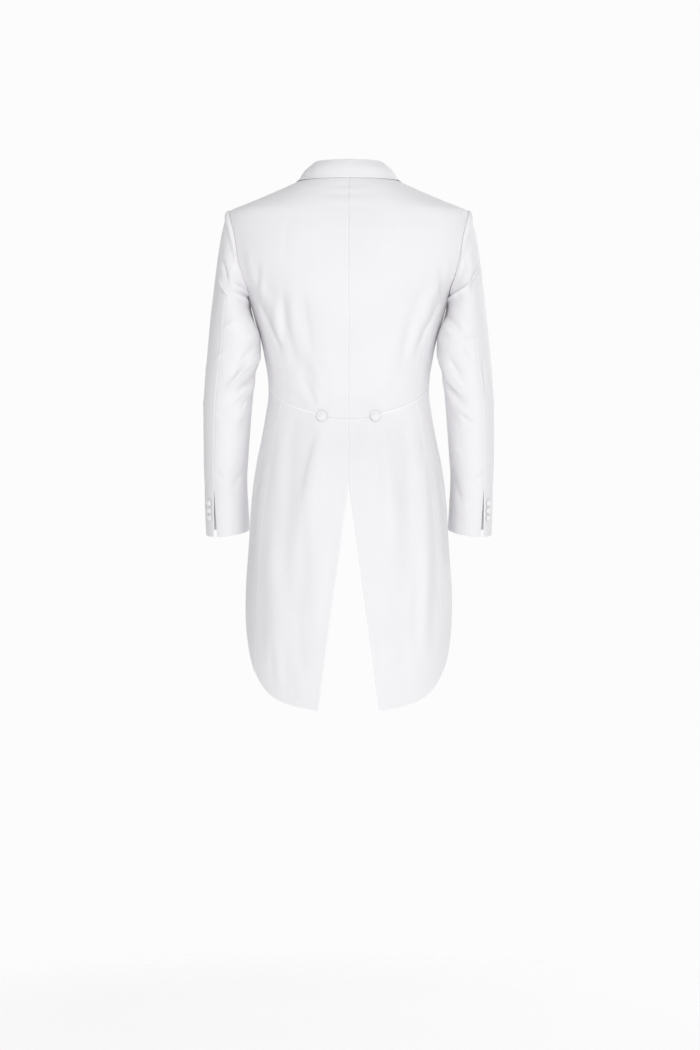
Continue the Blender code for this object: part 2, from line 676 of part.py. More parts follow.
def make_lapel(material):
    """Peaked lapel, turned back over the front from the roll line."""
    gorge = gorge_line()
    peak_out = np.linspace(GORGE_END[0], PEAK_TIP[0], CELLS_PEAK + 1)[1:]
    peak_heights = np.linspace(GORGE_END[1], PEAK_TIP[1], CELLS_PEAK + 1)[1:]
    peak = np.stack([turn_at(peak_out, peak_heights, front=True), peak_heights], axis=-1)
    top = np.concatenate([gorge, peak])
    left = front_edge(roll_heights()[CELLS_BELOW_BREAK : CELLS_BELOW_BREAK + CELLS_LAPEL_ROWS + 1])
    top[0] = left[-1]
    edge_heights = np.linspace(LAPEL_BREAK_HEIGHT, PEAK_TIP[1], CELLS_LAPEL_ROWS + 1)
    right = np.stack([turn_at(read(LAPEL_EDGE, "height", "out", edge_heights), edge_heights, front=True), edge_heights], axis=-1)
    right[-1] = top[-1]
    bottom = line(left[0], right[0], CELLS_GORGE + CELLS_PEAK)
    grid = coons(bottom, top, left, right)
    share = np.linspace(0, 1, grid.shape[1])[None] * np.linspace(0.3, 1, len(grid))[:, None] ** 0.5
    share[-1, : CELLS_GORGE + 1] = np.linspace(0, CELLS_GORGE / grid.shape[1], CELLS_GORGE + 1)
    leaf, _ = body_point(grid[..., 0], grid[..., 1], leaf_lift(share))
    frame = roll_frame(left[:, 0], left[:, 1], grid[:, 1, 0], grid[:, 1, 1])
    points = np.concatenate([wrapped(*frame), leaf], axis=1)
    normals = sheet_normals(points)
    outside = inset(points, normals, ("top",), 0.8 * SEAM_GAP)
    both_sides("lapel", outside, outside - WALL * normals, material)


def collar_line(share, turns, ring, column, front):
    """A line along the collar: a ring round the back of the neck, then the front table's line."""
    half_width, depth = ring
    height = read(COLLAR_HEIGHTS, "share", column, share)
    around = np.stack([half_width * np.sin(turns) ** (2 / RING_POWER), depth * np.cos(turns), height], axis=-1)
    ahead = np.stack([read(front, "share", c, share) for c in ("x", "y", "height")], axis=-1)
    return np.where((share <= 0.5)[:, None], around, ahead)


def rest_on_body(points, clearance):
    """Points raised where they would come nearer to the body's shoulders than the clearance."""
    x, y, z = points[..., 0], points[..., 1], points[..., 2]
    low, high = np.full(x.shape, -0.12), np.full(x.shape, 0.012)
    for _ in range(30):
        middle = (low + high) / 2
        half_width = read(BODY, "height", "half_width", middle)
        depth = ring_depth(y, middle)
        outside = (np.abs(x) / half_width) ** RING_POWER + (y / depth) ** 2 > 1
        low, high = np.where(outside, low, middle), np.where(outside, middle, high)
    turn = np.arccos(np.clip(y / depth, -1, 1))
    _, normal = body_point(turn, low)
    raised = points.copy()
    raised[..., 2] = np.where(low < 0.0115, np.maximum(z, low + clearance / np.maximum(normal[..., 2], 0.2)), z)
    return raised


def collar_half():
    """Grid of the collar's outer points from the centre back to the gorge, one row for each place."""
    back = np.linspace(0, 0.5, CELLS_COLLAR_BACK + 1)
    share = np.concatenate([back, np.linspace(0.5, 1, CELLS_COLLAR_FRONT + 1)[1:]])
    turns = np.clip(share * 2, 0, 1) * math.pi / 2
    heights = NECK_BACK_HEIGHT * np.cos(turns) ** 2
    front = np.clip(share * 2 - 1, 0, 1)
    on_front = front_edge(GORGE_START[1] * front)
    seam = np.where((share > 0.5)[:, None], on_front, np.stack([turns, heights], axis=-1))
    gorge = gorge_line()
    seam[-1] = gorge[0]

    edge_heights = read(COLLAR_EDGE_FRONT, "share", "height", share)
    edge_turns = turn_at(read(COLLAR_EDGE_FRONT, "share", "out", share), edge_heights, front=True)
    edge = np.stack([edge_turns, edge_heights], axis=-1)
    edge[-1] = gorge[-1]
    across = np.linspace(0, 1, CELLS_GORGE + 1)[:, None]
    grid = seam[:, None] + (edge - seam)[:, None] * across
    grid[-1] = gorge
    lift = leaf_lift(np.linspace(0, CELLS_GORGE / (CELLS_GORGE + CELLS_PEAK + 1), CELLS_GORGE + 1))
    leaf, _ = body_point(grid[..., 0], grid[..., 1], lift[None] + 0 * grid[..., 0])
    wrap = wrapped(*roll_frame(seam[:, 0], seam[:, 1], grid[:, 1, 0], grid[:, 1, 1]))
    middle = (wrap[:, :1] + wrap[:, 1:2]) / 2
    on_surface = np.concatenate([wrap[:, :1], middle, wrap[:, 1:], leaf], axis=1)

    foot, normal = body_point(seam[:, 0], seam[:, 1])
    fold = collar_line(share, turns, COLLAR_FOLD_RING, "fold", COLLAR_FOLD_FRONT)
    outer = collar_line(share, turns, COLLAR_EDGE_RING, "edge", COLLAR_EDGE_RUN)
    up = unit(fold - foot)
    foot = foot + up * 1.5 * SEAM_GAP
    away = unit(outer - fold)
    away = unit(away - up * np.sum(away * up, axis=-1, keepdims=True))
    turn_radius = 0.0030
    rising = fold - up * turn_radius - away * turn_radius
    falling = fold - up * turn_radius + away * turn_radius
    fall = falling[:, None] + (outer - falling)[:, None] * across
    fall += (normal * 0.0025)[:, None] * np.sin(math.pi * across)
    standing = np.concatenate(
        [foot[:, None], ((foot + rising) / 2)[:, None], rising[:, None], fold[:, None], fall], axis=1
    )
    weight = np.clip((share - 0.52) / 0.36, 0, 1)
    weight = (weight * weight * (3 - 2 * weight))[:, None, None]
    points = standing * (1 - weight) + on_surface * weight
    points[:, 4:] = rest_on_body(points[:, 4:], WALL + LAYER_GAP)
    return points


def make_collar(material):
    """Collar: a stand round the neck that folds over into the fall, in one sheet from gorge to gorge."""
    half = collar_half()
    flip = np.array([-1.0, 1.0, 1.0])
    points = np.concatenate([(half * flip)[:0:-1], half])
    normals = sheet_normals(points)
    normals *= np.sign(normals[len(half) - 1, -1, 1])
    outside = inset(points, normals, ("bottom", "top"), 0.8 * SEAM_GAP)
    wall("collar", outside, outside - WALL * normals, material)


def button_frame(normal):
    """Two directions across a button that faces along normal."""
    side = unit(np.cross([0.0, 0.0, 1.0], normal))
    return side, np.cross(normal, side)


def make_button(name, foot, normal, radius, material):
    """Covered button: a short shank under a domed disc with a rounded rim."""
    shank, rim = 0.42 * radius, 0.0011 + 0.06 * radius
    profile = [
        (shank, BUTTON_STAND),
        (shank, 0.0016),
        (0.93 * radius, 0.0018),
        (radius, 0.0018 + rim),
        (0.90 * radius, 0.0034 + rim),
        (0.52 * radius, 0.0046 + rim),
    ]
    side, across = button_frame(normal)
    angles = np.linspace(0, 2 * math.pi, BUTTON_SEGMENTS, endpoint=False)
    circle = np.cos(angles)[:, None] * side + np.sin(angles)[:, None] * across
    rings = [foot + normal * height + circle * r for r, height in profile]
    points = np.concatenate([*rings, [foot + normal * (0.0050 + rim)]])
    faces = [tuple(range(BUTTON_SEGMENTS))]
    following = np.roll(np.arange(BUTTON_SEGMENTS), -1)
    for ring in range(len(profile) - 1):
        low, high = ring * BUTTON_SEGMENTS, (ring + 1) * BUTTON_SEGMENTS
        faces += [(low + a, low + b, high + b, high + a) for a, b in enumerate(following)]
    last = (len(profile) - 1) * BUTTON_SEGMENTS
    faces += [(last + a, last + b, len(points) - 1) for a, b in enumerate(following)]
    closed_mesh(name, points, faces).data.materials.append(material)


def button_pair(name, foot, normal, radius, material):
    """A button on the left and its mirror image on the right."""
    flip = np.array([-1.0, 1.0, 1.0])
    make_button(name + "_left", foot, normal, radius, material)
    make_button(name + "_right", foot * flip, normal * flip, radius, material)


def make_buttons(material):
    """Two waist buttons at the back, three on each front and three on each cuff."""
    for name, out, height, front in (
        ("back_button", 0.0503, -0.4634, False),
        ("front_button_1", 0.1300, -0.3200, True),
        ("front_button_2", 0.1140, -0.3700, True),
        ("front_button_3", 0.1000, -0.4200, True),
    ):
        foot, normal = body_point(turn_at(out, height, front=front), height)
        button_pair(name, foot, normal, BUTTON_RADIUS, material)
    for k, height in enumerate((-0.6200, -0.6337, -0.6474)):
        share = 1 + (height - SLEEVE_RING_HEIGHT) / (CUFF_HEIGHT - SLEEVE_RING_HEIGHT)
        turn = 66.0
        foot = sleeve_surface(turn, share)
        around = sleeve_surface(turn + 1, share) - sleeve_surface(turn - 1, share)
        along = sleeve_surface(turn, share + 0.01) - sleeve_surface(turn, share - 0.01)
        normal = unit(np.cross(along, around))
        button_pair(f"cuff_button_{k + 1}", foot, normal, CUFF_BUTTON_RADIUS, material)


def cloth_material(name, colour, roughness):
    """Principled material of one part of the coat."""
    made = bpy.data.materials.new(name)
    made.use_nodes = True
    shader = made.node_tree.nodes["Principled BSDF"]
    shader.inputs["Base Color"].default_value = (*colour, 1.0)
    shader.inputs["Roughness"].default_value = roughness
    shader.inputs["Metallic"].default_value = 0.0
    return made


def main():
    """Clears the scene and makes every piece of the coat."""
    for old in list(bpy.data.objects):
        bpy.data.objects.remove(old)
    cloth = cloth_material("coat_cloth", (0.86, 0.86, 0.87), 0.62)
    facing = cloth_material("facing_cloth", (0.88, 0.88, 0.89), 0.50)
    covered = cloth_material("covered_button", (0.90, 0.90, 0.90), 0.45)
    make_back(cloth)
    make_side(cloth)
    make_front(cloth)
    make_tail_back(cloth)
    make_tail_side(cloth)
    make_sleeve("sleeve_top", ("front_upper", "back_upper"), -1, cloth)
    make_sleeve("sleeve_under", ("back_lower", "under", "front_lower"), 0, cloth)
    make_lapel(facing)
    make_collar(facing)
    make_buttons(covered)


main()
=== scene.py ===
"""White dress tailcoat: the finished cloth, buttons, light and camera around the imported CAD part.

Metres, +Z up, coat facing -Y, wearer's left at +X. Each piece of cloth is a thin shell laid on its
solid's form. A point of the body is given by a turn round a level ring (0 at the centre back, 90
degrees at the side, 180 at the centre front) and a height; a point of a sleeve by a turn round the
armhole and a share of the way down. Creases, seams and turned edges are relief added along the
cloth's normal.
"""

from __future__ import annotations

import logging
import math
from collections.abc import Callable
from dataclasses import dataclass, field
from enum import Enum

import bpy
import numpy as np
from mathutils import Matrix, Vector

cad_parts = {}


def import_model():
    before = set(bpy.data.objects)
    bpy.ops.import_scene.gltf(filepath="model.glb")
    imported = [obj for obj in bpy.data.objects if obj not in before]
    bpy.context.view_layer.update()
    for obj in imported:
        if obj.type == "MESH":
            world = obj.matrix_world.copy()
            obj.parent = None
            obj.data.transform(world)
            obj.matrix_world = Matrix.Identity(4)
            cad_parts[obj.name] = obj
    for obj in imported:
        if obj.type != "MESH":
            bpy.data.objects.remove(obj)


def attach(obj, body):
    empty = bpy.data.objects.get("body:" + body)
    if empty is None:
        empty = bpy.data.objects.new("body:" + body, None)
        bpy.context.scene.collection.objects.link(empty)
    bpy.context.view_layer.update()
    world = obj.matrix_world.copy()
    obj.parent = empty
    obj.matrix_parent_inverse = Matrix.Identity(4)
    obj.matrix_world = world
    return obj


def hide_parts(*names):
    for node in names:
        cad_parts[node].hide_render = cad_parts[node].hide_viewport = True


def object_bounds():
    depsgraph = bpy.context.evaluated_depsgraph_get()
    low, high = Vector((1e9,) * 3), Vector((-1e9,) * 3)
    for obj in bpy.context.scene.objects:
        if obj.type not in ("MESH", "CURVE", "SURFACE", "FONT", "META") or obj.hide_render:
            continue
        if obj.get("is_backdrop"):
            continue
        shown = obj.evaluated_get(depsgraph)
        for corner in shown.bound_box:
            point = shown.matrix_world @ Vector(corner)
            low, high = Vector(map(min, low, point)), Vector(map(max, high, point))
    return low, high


LOG = logging.getLogger("tailcoat")
Array = np.ndarray
Edge = Callable[[Array], Array]
FLIP = np.array([-1.0, 1.0, 1.0])


class Side(Enum):
    """The wearer's side that a piece is on."""

    LEFT = 1
    RIGHT = -1

    @property
    def word(self) -> str:
        """The side as it is written in names."""
        return self.name.lower()


class EdgeFinish(Enum):
    """How an edge of a piece of cloth is finished."""

    SEWN = "sewn"
    LAPPED_OVER = "lapped over"
    PRESSED_OVER = "pressed over"
    LAPPED_UNDER = "lapped under"
    TURNED = "turned"


class Facing(Enum):
    """The direction a set of creases is seen from: the two axes it is drawn in, and the way it faces."""

    BACK = (0, 2, 1, 1.0)
    FRONT = (0, 2, 1, -1.0)
    OUTER = (1, 2, 0, 1.0)


# Numbers and curves


def smooth(at: Array, xs: Array, ys: Array) -> Array:
    """Cubic Hermite curve through (xs, ys) with harmonic-mean slopes, so that it never overshoots.

    Args:
        at: places to read the curve at; beyond the ends it keeps the end values.
        xs: places of the knots, in any order.
        ys: values of the knots.

    Returns:
        The curve's value at each place.
    """
    order = np.argsort(xs)
    xs, ys = np.asarray(xs)[order], np.asarray(ys)[order]
    step = np.diff(xs)
    slope = np.diff(ys) / step
    knots = np.zeros(len(xs))
    knots[0], knots[-1] = slope[0], slope[-1]
    same_way = slope[:-1] * slope[1:] > 0
    weight_a, weight_b = 2 * step[1:] + step[:-1], step[1:] + 2 * step[:-1]
    with np.errstate(divide="ignore", invalid="ignore"):
        mean = (weight_a + weight_b) / (weight_a / slope[:-1] + weight_b / slope[1:])
    knots[1:-1] = np.where(same_way, mean, 0.0)
    at = np.clip(np.asarray(at, float), xs[0], xs[-1])
    i = np.clip(np.searchsorted(xs, at, side="right") - 1, 0, len(xs) - 2)
    h, t = step[i], (at - xs[i]) / step[i]
    return (
        ys[i] * (1 + 2 * t) * (1 - t) ** 2
        + h * knots[i] * t * (1 - t) ** 2
        + ys[i + 1] * t * t * (3 - 2 * t)
        + h * knots[i + 1] * t * t * (t - 1)
    )


def unit(vectors: Array) -> Array:
    """Vectors of length one."""
    return vectors / np.maximum(np.linalg.norm(vectors, axis=-1, keepdims=True), 1e-12)


def ramp(value: Array, low: float, high: float) -> Array:
    """0 below low, 1 above high, and 3t^2 - 2t^3 in between."""
    t = np.clip((value - low) / (high - low), 0, 1)
    return t * t * (3 - 2 * t)


def bump(distance: Array, centre: float, half_width: float) -> Array:
    """Bell exp(-((d - centre) / half_width)^2)."""
    return np.exp(-(((distance - centre) / half_width) ** 2))


@dataclass(frozen=True)
class Table:
    """A short table with named columns, in metres and degrees."""

    columns: dict[str, Array]

    @classmethod
    def of(cls, names: str, rows: list[tuple[float, ...]], scale: float = 0.001) -> Table:
        """Makes a table from rows in millimetres; columns that end in deg stay in degrees."""
        values = np.array(rows, float)
        return cls({n: values[:, i] * (1.0 if n.endswith("deg") else scale) for i, n in enumerate(names.split())})

    def read(self, key: str, value: str, at: Array) -> Array:
        """Value of one column where another has the given values."""
        return smooth(at, self.columns[key], self.columns[value])

    def column(self, name: str) -> Array:
        """One whole column."""
        return self.columns[name]


# Surfaces


@dataclass(frozen=True)
class Folds:
    """Large soft folds, each along a straight line in (turn, height)."""

    table: Table
    radius: float

    def lift(self, turn: Array, height: Array) -> Array:
        """Sum over the folds of swell * fade(share along) * exp(-(across / half width)^2)."""
        rows = self.table.columns
        lift = np.zeros(np.broadcast(turn, height).shape)
        for k, swell in enumerate(rows["swell"]):
            start = np.array([self.radius * math.radians(rows["turn_from_deg"][k]), rows["height_from"][k]])
            end = np.array([self.radius * math.radians(rows["turn_to_deg"][k]), rows["height_to"][k]])
            along = end - start
            place = np.stack(np.broadcast_arrays(self.radius * turn, height), axis=-1) - start
            share = place @ along / (along @ along)
            across = (place[..., 0] * along[1] - place[..., 1] * along[0]) / np.linalg.norm(along)
            fade = np.clip(1 - (2 * np.clip(share, -0.25, 1.25) - 1) ** 4 / 3.2, 0, 1)
            inside = (share > -0.25) & (share < 1.25)
            lift += np.where(inside, swell * fade * np.exp(-((across / rows["half_width"][k]) ** 2)), 0)
        return lift


@dataclass(frozen=True)
class BodySurface:
    """The body of the coat: a superellipse ring x = a sin(u)^0.8, y = d cos(u) at each height."""

    power: float = 2.5
    rings: Table = Table.of(
        "height half_width back front",
        [
            (12, 66, 52, 26),
            (0, 78, 58, 30),
            (-9, 94, 63, 36),
            (-18, 113, 69, 42),
            (-28, 135, 75, 49),
            (-38, 158, 80, 57),
            (-48, 182, 85, 66),
            (-58, 207, 89, 76),
            (-67, 227, 92, 84),
            (-80, 236, 96, 93.5),
            (-110, 239.5, 104, 111),
            (-150, 236, 110, 123.5),
            (-190, 220, 112, 130),
            (-220, 201, 110, 132),
            (-246, 189, 107, 133),
            (-280, 179, 102, 132),
            (-310, 169, 97, 130),
            (-345, 161, 92, 128),
            (-385, 155, 88, 126),
            (-415, 153.5, 87, 125),
            (-458, 159, 92, 127),
            (-500, 166.5, 101, 130),
            (-545, 175.5, 113, 132),
            (-590, 182, 122, 134),
            (-640, 187, 128, 134),
            (-700, 191, 130, 132),
            (-780, 196.5, 129, 130),
            (-860, 199, 126, 128),
            (-950, 200, 122, 126),
            (-1040, 200, 118, 124),
        ],
    )
    folds: Folds = Folds(
        Table.of(
            "turn_from_deg height_from turn_to_deg height_to half_width swell",
            [
                (52, -215, 44, -330, 14, 3.0),
                (40, -235, 36, -350, 12, -2.2),
                (62, -250, 50, -330, 9, -2.4),
                (28, -300, 20, -430, 20, 1.8),
                (17, -475, 22, -760, 17, 3.2),
                (36, -500, 30, -800, 18, -3.6),
                (48, -560, 44, -880, 16, 3.4),
                (22, -700, 25, -960, 16, -2.2),
                (125, -200, 120, -400, 22, 2.4),
                (112, -260, 114, -400, 12, -2.2),
            ],
        ),
        radius=0.15,
    )

    def half_width(self, height: Array) -> Array:
        """Half the ring's width at each height."""
        return self.rings.read("height", "half_width", height)

    def depth(self, toward_back: Array, height: Array) -> Array:
        """The ring's depth behind the middle, or before it where the first argument is negative."""
        back, front = self.rings.read("height", "back", height), self.rings.read("height", "front", height)
        return np.where(np.asarray(toward_back) >= 0, back, front)

    def points(self, turn: Array, height: Array) -> Array:
        """Points of the surface, with the large folds on it."""
        sine, cosine = np.sin(turn), np.cos(turn)
        lift = self.folds.lift(turn, height)
        out = self.half_width(height) * np.sign(sine) * np.abs(sine) ** (2 / self.power)
        deep = self.depth(cosine, height) * cosine
        return np.stack([out + lift * sine, deep + lift * cosine, height + 0 * turn], axis=-1)

    def frame(self, turn: Array, height: Array) -> tuple[Array, Array]:
        """Points and outward normals, the normal being the cross product of the surface's slopes."""
        turn, height = np.broadcast_arrays(np.asarray(turn, float), np.asarray(height, float))
        step = 1e-4
        along = self.points(turn + step, height) - self.points(turn - step, height)
        across = self.points(turn, height + step) - self.points(turn, height - step)
        return self.points(turn, height), unit(np.cross(across, along))

    def turn_at(self, out: Array, height: Array, front: bool = False) -> Array:
        """Turn at which the ring is this far from the middle."""
        share = np.clip(np.asarray(out) / self.half_width(height), 0, 1)
        turn = np.arcsin(share ** (self.power / 2))
        return np.pi - turn if front else turn

    def seen_from_above(self, edge: Array, tilt: float) -> Array:
        """(out, drop) of (turn, height) points as seen from above and before the panel."""
        turn, height = edge[..., 0], edge[..., 1]
        out = self.half_width(height) * np.abs(np.sin(turn)) ** (2 / self.power)
        deep = self.depth(np.cos(turn), height) * np.abs(np.cos(turn))
        return np.stack([out, height - tilt * deep], axis=-1)

    def shoulder_grid(self, edges: Patch, front: bool, tilt: float = 0.4) -> Array:
        """Grid of (turn, height) laid out as seen from above, found again on the surface by halving."""
        seen = edges.blended(lambda edge: self.seen_from_above(edge, tilt))
        out, drop = np.maximum(seen[..., 0], 0), seen[..., 1]
        low, high = np.full(out.shape, -0.60), np.full(out.shape, 0.012)
        sign = -1.0 if front else 1.0
        for _ in range(34):
            middle = (low + high) / 2
            share = np.clip(out / self.half_width(middle), 0, 1)
            deep = self.depth(sign, middle) * np.sqrt(1 - share**self.power)
            above = middle - tilt * deep > drop
            low, high = np.where(above, low, middle), np.where(above, middle, high)
        grid = np.stack([self.turn_at(out, low, front=front), low], axis=-1)
        grid[0], grid[-1], grid[:, 0], grid[:, -1] = edges.bottom, edges.top, edges.left, edges.right
        return grid


@dataclass(frozen=True)
class Patch:
    """Four edges that share their corners, and the shares (columns, rows) at which they are given."""

    bottom: Array
    top: Array
    left: Array
    right: Array
    columns: Array
    rows: Array

    @classmethod
    def of(cls, edges: tuple[Edge, Edge, Edge, Edge], columns: Array, rows: Array) -> Patch:
        """Reads the bottom, top, left and right edges at the given shares."""
        bottom, top, left, right = edges
        return cls(bottom(columns), top(columns), left(rows), right(rows), columns, rows)

    def blended(self, change: Callable[[Array], Array] = lambda edge: edge) -> Array:
        """Coons patch: both ruled surfaces together, less the one through the four corners."""
        bottom, top, left, right = (change(e) for e in (self.bottom, self.top, self.left, self.right))
        t, s = self.columns[None, :, None], self.rows[:, None, None]
        ruled = (1 - s) * bottom[None] + s * top[None] + (1 - t) * left[:, None] + t * right[:, None]
        corners = (1 - s) * ((1 - t) * bottom[0] + t * bottom[-1]) + s * ((1 - t) * top[0] + t * top[-1])
        return ruled - corners


def spread(length: float, cell: float, breaks: tuple[float, ...] = (), ends: bool = True) -> Array:
    """Shares from 0 to 1, one cell apart, with finer ones beside both ends so that rims can be rounded."""
    fine = np.array([0.00035, 0.0009, 0.0018, 0.0031]) / length if ends else np.array([])
    knots = [0.0, *breaks, 1.0]
    parts = [np.linspace(a, b, max(2, round((b - a) * length / cell) + 1)) for a, b in zip(knots, knots[1:])]
    shares = np.unique(np.round(np.concatenate(parts), 9))
    if ends:
        margin = 0.0045 / length
        inner = shares[(shares > margin) & (shares < 1 - margin)]
        shares = np.concatenate([[0.0], fine, inner, 1 - fine[::-1], [1.0]])
    return shares


def straight(start: Array, end: Array) -> Edge:
    """Straight edge between two places."""
    a, b = np.asarray(start, float), np.asarray(end, float)
    return lambda share: a + (b - a) * np.asarray(share)[:, None]


def joined(*parts: tuple[Edge, float]) -> Edge:
    """Edge made of several, each taking up its part of the shares."""
    ends = np.cumsum([0.0] + [weight for _, weight in parts])
    ends = ends / ends[-1]

    def run(share: Array) -> Array:
        share = np.asarray(share, float)
        made = np.zeros((len(share), 2))
        for (edge, _), low, high in zip(parts, ends[:-1], ends[1:]):
            here = (share >= low - 1e-9) & (share <= high + 1e-9)
            made[here] = edge(np.clip((share[here] - low) / (high - low), 0, 1))
        return made

    return run


@dataclass(frozen=True)
class Armhole:
    """The armhole, an ellipse seen from the side, by turns from the shoulder tip round the back."""

    body: BodySurface
    centre_height: float = -0.1565
    half_height: float = 0.0895
    half_depth: float = 0.055
    forward_shift: float = -0.006
    hind: float = 84.0
    side_back: float = 144.0
    underarm: float = 200.0
    fore: float = 235.0

    def at(self, turn_deg: Array) -> Array:
        """(turn, height) on the body of the armhole's points."""
        angle = np.radians(turn_deg)
        y = self.forward_shift * (1 - np.cos(angle)) / 2 + self.half_depth * np.sin(angle)
        height = self.centre_height + self.half_height * np.cos(angle)
        return np.stack([np.arccos(np.clip(y / self.body.depth(y, height), -1, 1)), height], axis=-1)

    def edge(self, start: float, end: float) -> Edge:
        """The stretch of the armhole between two turns."""
        return lambda share: self.at(start + (end - start) * np.asarray(share))


@dataclass(frozen=True)
class Cut:
    """The coat's seams and edges on the body surface."""

    body: BodySurface
    hole: Armhole
    shoulder_tip: float = -0.067
    neck_back: float = 0.008
    vent_top: float = -0.593
    vent_half_opening: float = 0.058
    front_hem_side: float = -0.487
    front_point: float = -0.512
    gorge_start: tuple[float, float] = (0.082, -0.050)
    gorge_end: tuple[float, float] = (0.122, -0.094)
    peak_tip: tuple[float, float] = (0.181, -0.074)
    lapel_break: float = -0.400
    waist: Table = Table.of(
        "turn_deg height",
        [(0, -468), (10.6, -465), (17.6, -457), (29, -449), (43, -438.5), (58, -425.5), (75, -412), (90, -407),
         (106, -406)],
    )
    side_back: Table = Table.of(
        "height out",
        [(-229, 191), (-246, 181.5), (-276, 163), (-312, 152), (-345, 141.5), (-385, 133.5), (-426, 127.5)],
    )
    skirt: Table = Table.of(
        "height out",
        [(-426, 127.5), (-485, 141), (-519, 145.5), (-553, 151.5), (-610, 158), (-693, 166.5), (-776, 172.5),
         (-842, 176.5), (-948, 178.5)],
    )
    underarm: Table = Table.of("height turn_deg", [(-240, 100.7), (-300, 103.5), (-406, 106), (-490, 106)])
    tail_front: Table = Table.of(
        "height turn_deg",
        [(-406, 106), (-490, 106), (-560, 103), (-650, 98), (-740, 93), (-793, 88), (-857, 80), (-890, 74),
         (-922, 67.5), (-948, 61.2)],
    )
    hem: Table = Table.of(
        "turn_deg height", [(12.1, -1020), (28, -1009.5), (38.9, -998), (47, -984), (54, -967), (60.4, -948)]
    )
    front: Table = Table.of(
        "height out",
        [(0, 78), (-30, 80), (-66, 84), (-100, 86), (-200, 84), (-300, 74), (-400, 60), (-440, 56), (-512, 49)],
    )
    lapel: Table = Table.of(
        "height out",
        [(-74, 181), (-100, 173.5), (-140, 162), (-190, 147), (-250, 127), (-320, 100), (-370, 78), (-400, 62)],
    )

    def waist_edge(self, start: float, end: float) -> Edge:
        """The waist seam between two turns, in radians."""

        def run(share: Array) -> Array:
            turns = start + (end - start) * np.asarray(share)
            return np.stack([turns, self.waist.read("turn_deg", "height", np.degrees(turns))], axis=-1)

        return run

    def side_foot(self) -> Array:
        """(turn, height) where the side-back seam meets the waist seam."""
        turn = self.body.turn_at(self.side_back.read("height", "out", -0.426), -0.426)
        return np.array([turn, self.waist.read("turn_deg", "height", math.degrees(turn))])

    def front_foot(self) -> Array:
        """(turn, height) where the underarm seam meets the waist seam."""
        return np.array([math.radians(106.0), float(self.waist.read("turn_deg", "height", 106.0))])

    def side_back_edge(self) -> Edge:
        """Seam between back and side, from the waist up to the armhole."""
        foot, head = self.side_foot(), self.hole.at(self.hole.side_back)

        def run(share: Array) -> Array:
            share = np.asarray(share, float)
            heights = foot[1] + (head[1] - foot[1]) * share
            turns = self.body.turn_at(self.side_back.read("height", "out", heights), heights)
            last = self.body.turn_at(self.side_back.read("height", "out", head[1]), head[1])
            return np.stack([turns + (head[0] - last) * share**8, heights], axis=-1)

        return run

    def underarm_edge(self) -> Edge:
        """Seam between side and front, from the waist up to the armhole."""
        foot, head = self.front_foot(), self.hole.at(self.hole.underarm)

        def run(share: Array) -> Array:
            share = np.asarray(share, float)
            heights = foot[1] + (head[1] - foot[1]) * share
            turns = np.radians(self.underarm.read("height", "turn_deg", heights))
            last = np.radians(self.underarm.read("height", "turn_deg", head[1]))
            return np.stack([turns + (head[0] - last) * share**8, heights], axis=-1)

        return run

    def strap_edge(self) -> Edge:
        """Seam between tail and front below the waist, from the front's hem up to the waist."""
        return straight((math.radians(106), self.front_hem_side), self.front_foot())

    def shoulder_edge(self, from_tip: bool) -> Edge:
        """Shoulder seam, from its tip to the neck point or back."""

        def run(share: Array) -> Array:
            share = np.asarray(share, float) if from_tip else 1 - np.asarray(share, float)
            return np.stack([np.full(share.shape, math.pi / 2), self.shoulder_tip * (1 - share**1.2)], axis=-1)

        return run

    def neck_edge(self) -> Edge:
        """Back neckline, from the centre back to the neck point."""

        def run(share: Array) -> Array:
            turns = math.pi / 2 * np.asarray(share, float)
            return np.stack([turns, self.neck_back * np.cos(turns) ** 2], axis=-1)

        return run

    def front_edge(self, heights: Array) -> Array:
        """Front edge and roll line at the given heights."""
        turns = self.body.turn_at(self.front.read("height", "out", heights), heights, front=True)
        return np.stack([turns, heights], axis=-1)

    def front_run(self, start: float, end: float) -> Edge:
        """The front edge between two heights."""
        return lambda share: self.front_edge(start + (end - start) * np.asarray(share, float))

    def tail_heights(self, at_front: bool) -> Callable[[Array], Array]:
        """Heights along an edge of a tail piece, from its foot up to the waist."""
        head = self.front_foot()[1] if at_front else self.side_foot()[1]
        foot = self.skirt.column("height")[-1] - (0.0005 if at_front else 0.0)
        split = head + self.front_hem_side - self.front_foot()[1]

        def run(share: Array) -> Array:
            down = 1 - np.asarray(share, float)
            strap = 3 / 16
            rest = np.clip((down - strap) / (1 - strap), 0, 1) ** 0.95
            return np.where(down <= strap, head + down / strap * (split - head), split + rest * (foot - split))

        return run

    def skirt_edge(self) -> Edge:
        """Seam down the tail, from its foot up to the waist."""
        heights_at, head = self.tail_heights(False), self.side_foot()

        def run(share: Array) -> Array:
            heights = heights_at(share)
            turns = self.body.turn_at(self.skirt.read("height", "out", heights), heights)
            last = self.body.turn_at(self.skirt.read("height", "out", head[1]), head[1])
            return np.stack([turns + (head[0] - last) * np.asarray(share) ** 20, heights], axis=-1)

        return run

    def tail_front_edge(self) -> Edge:
        """Front edge of the tail, from its foot up to the waist."""
        heights_at = self.tail_heights(True)

        def run(share: Array) -> Array:
            heights = heights_at(share)
            return np.stack([np.radians(self.tail_front.read("height", "turn_deg", heights)), heights], axis=-1)

        return run

    def hem_edge(self) -> Edge:
        """Hem of the tail's back piece, from the vent to the foot of the skirt seam."""
        foot = self.skirt_edge()(np.array([0.0]))[0]
        start = math.radians(self.hem.column("turn_deg")[0])

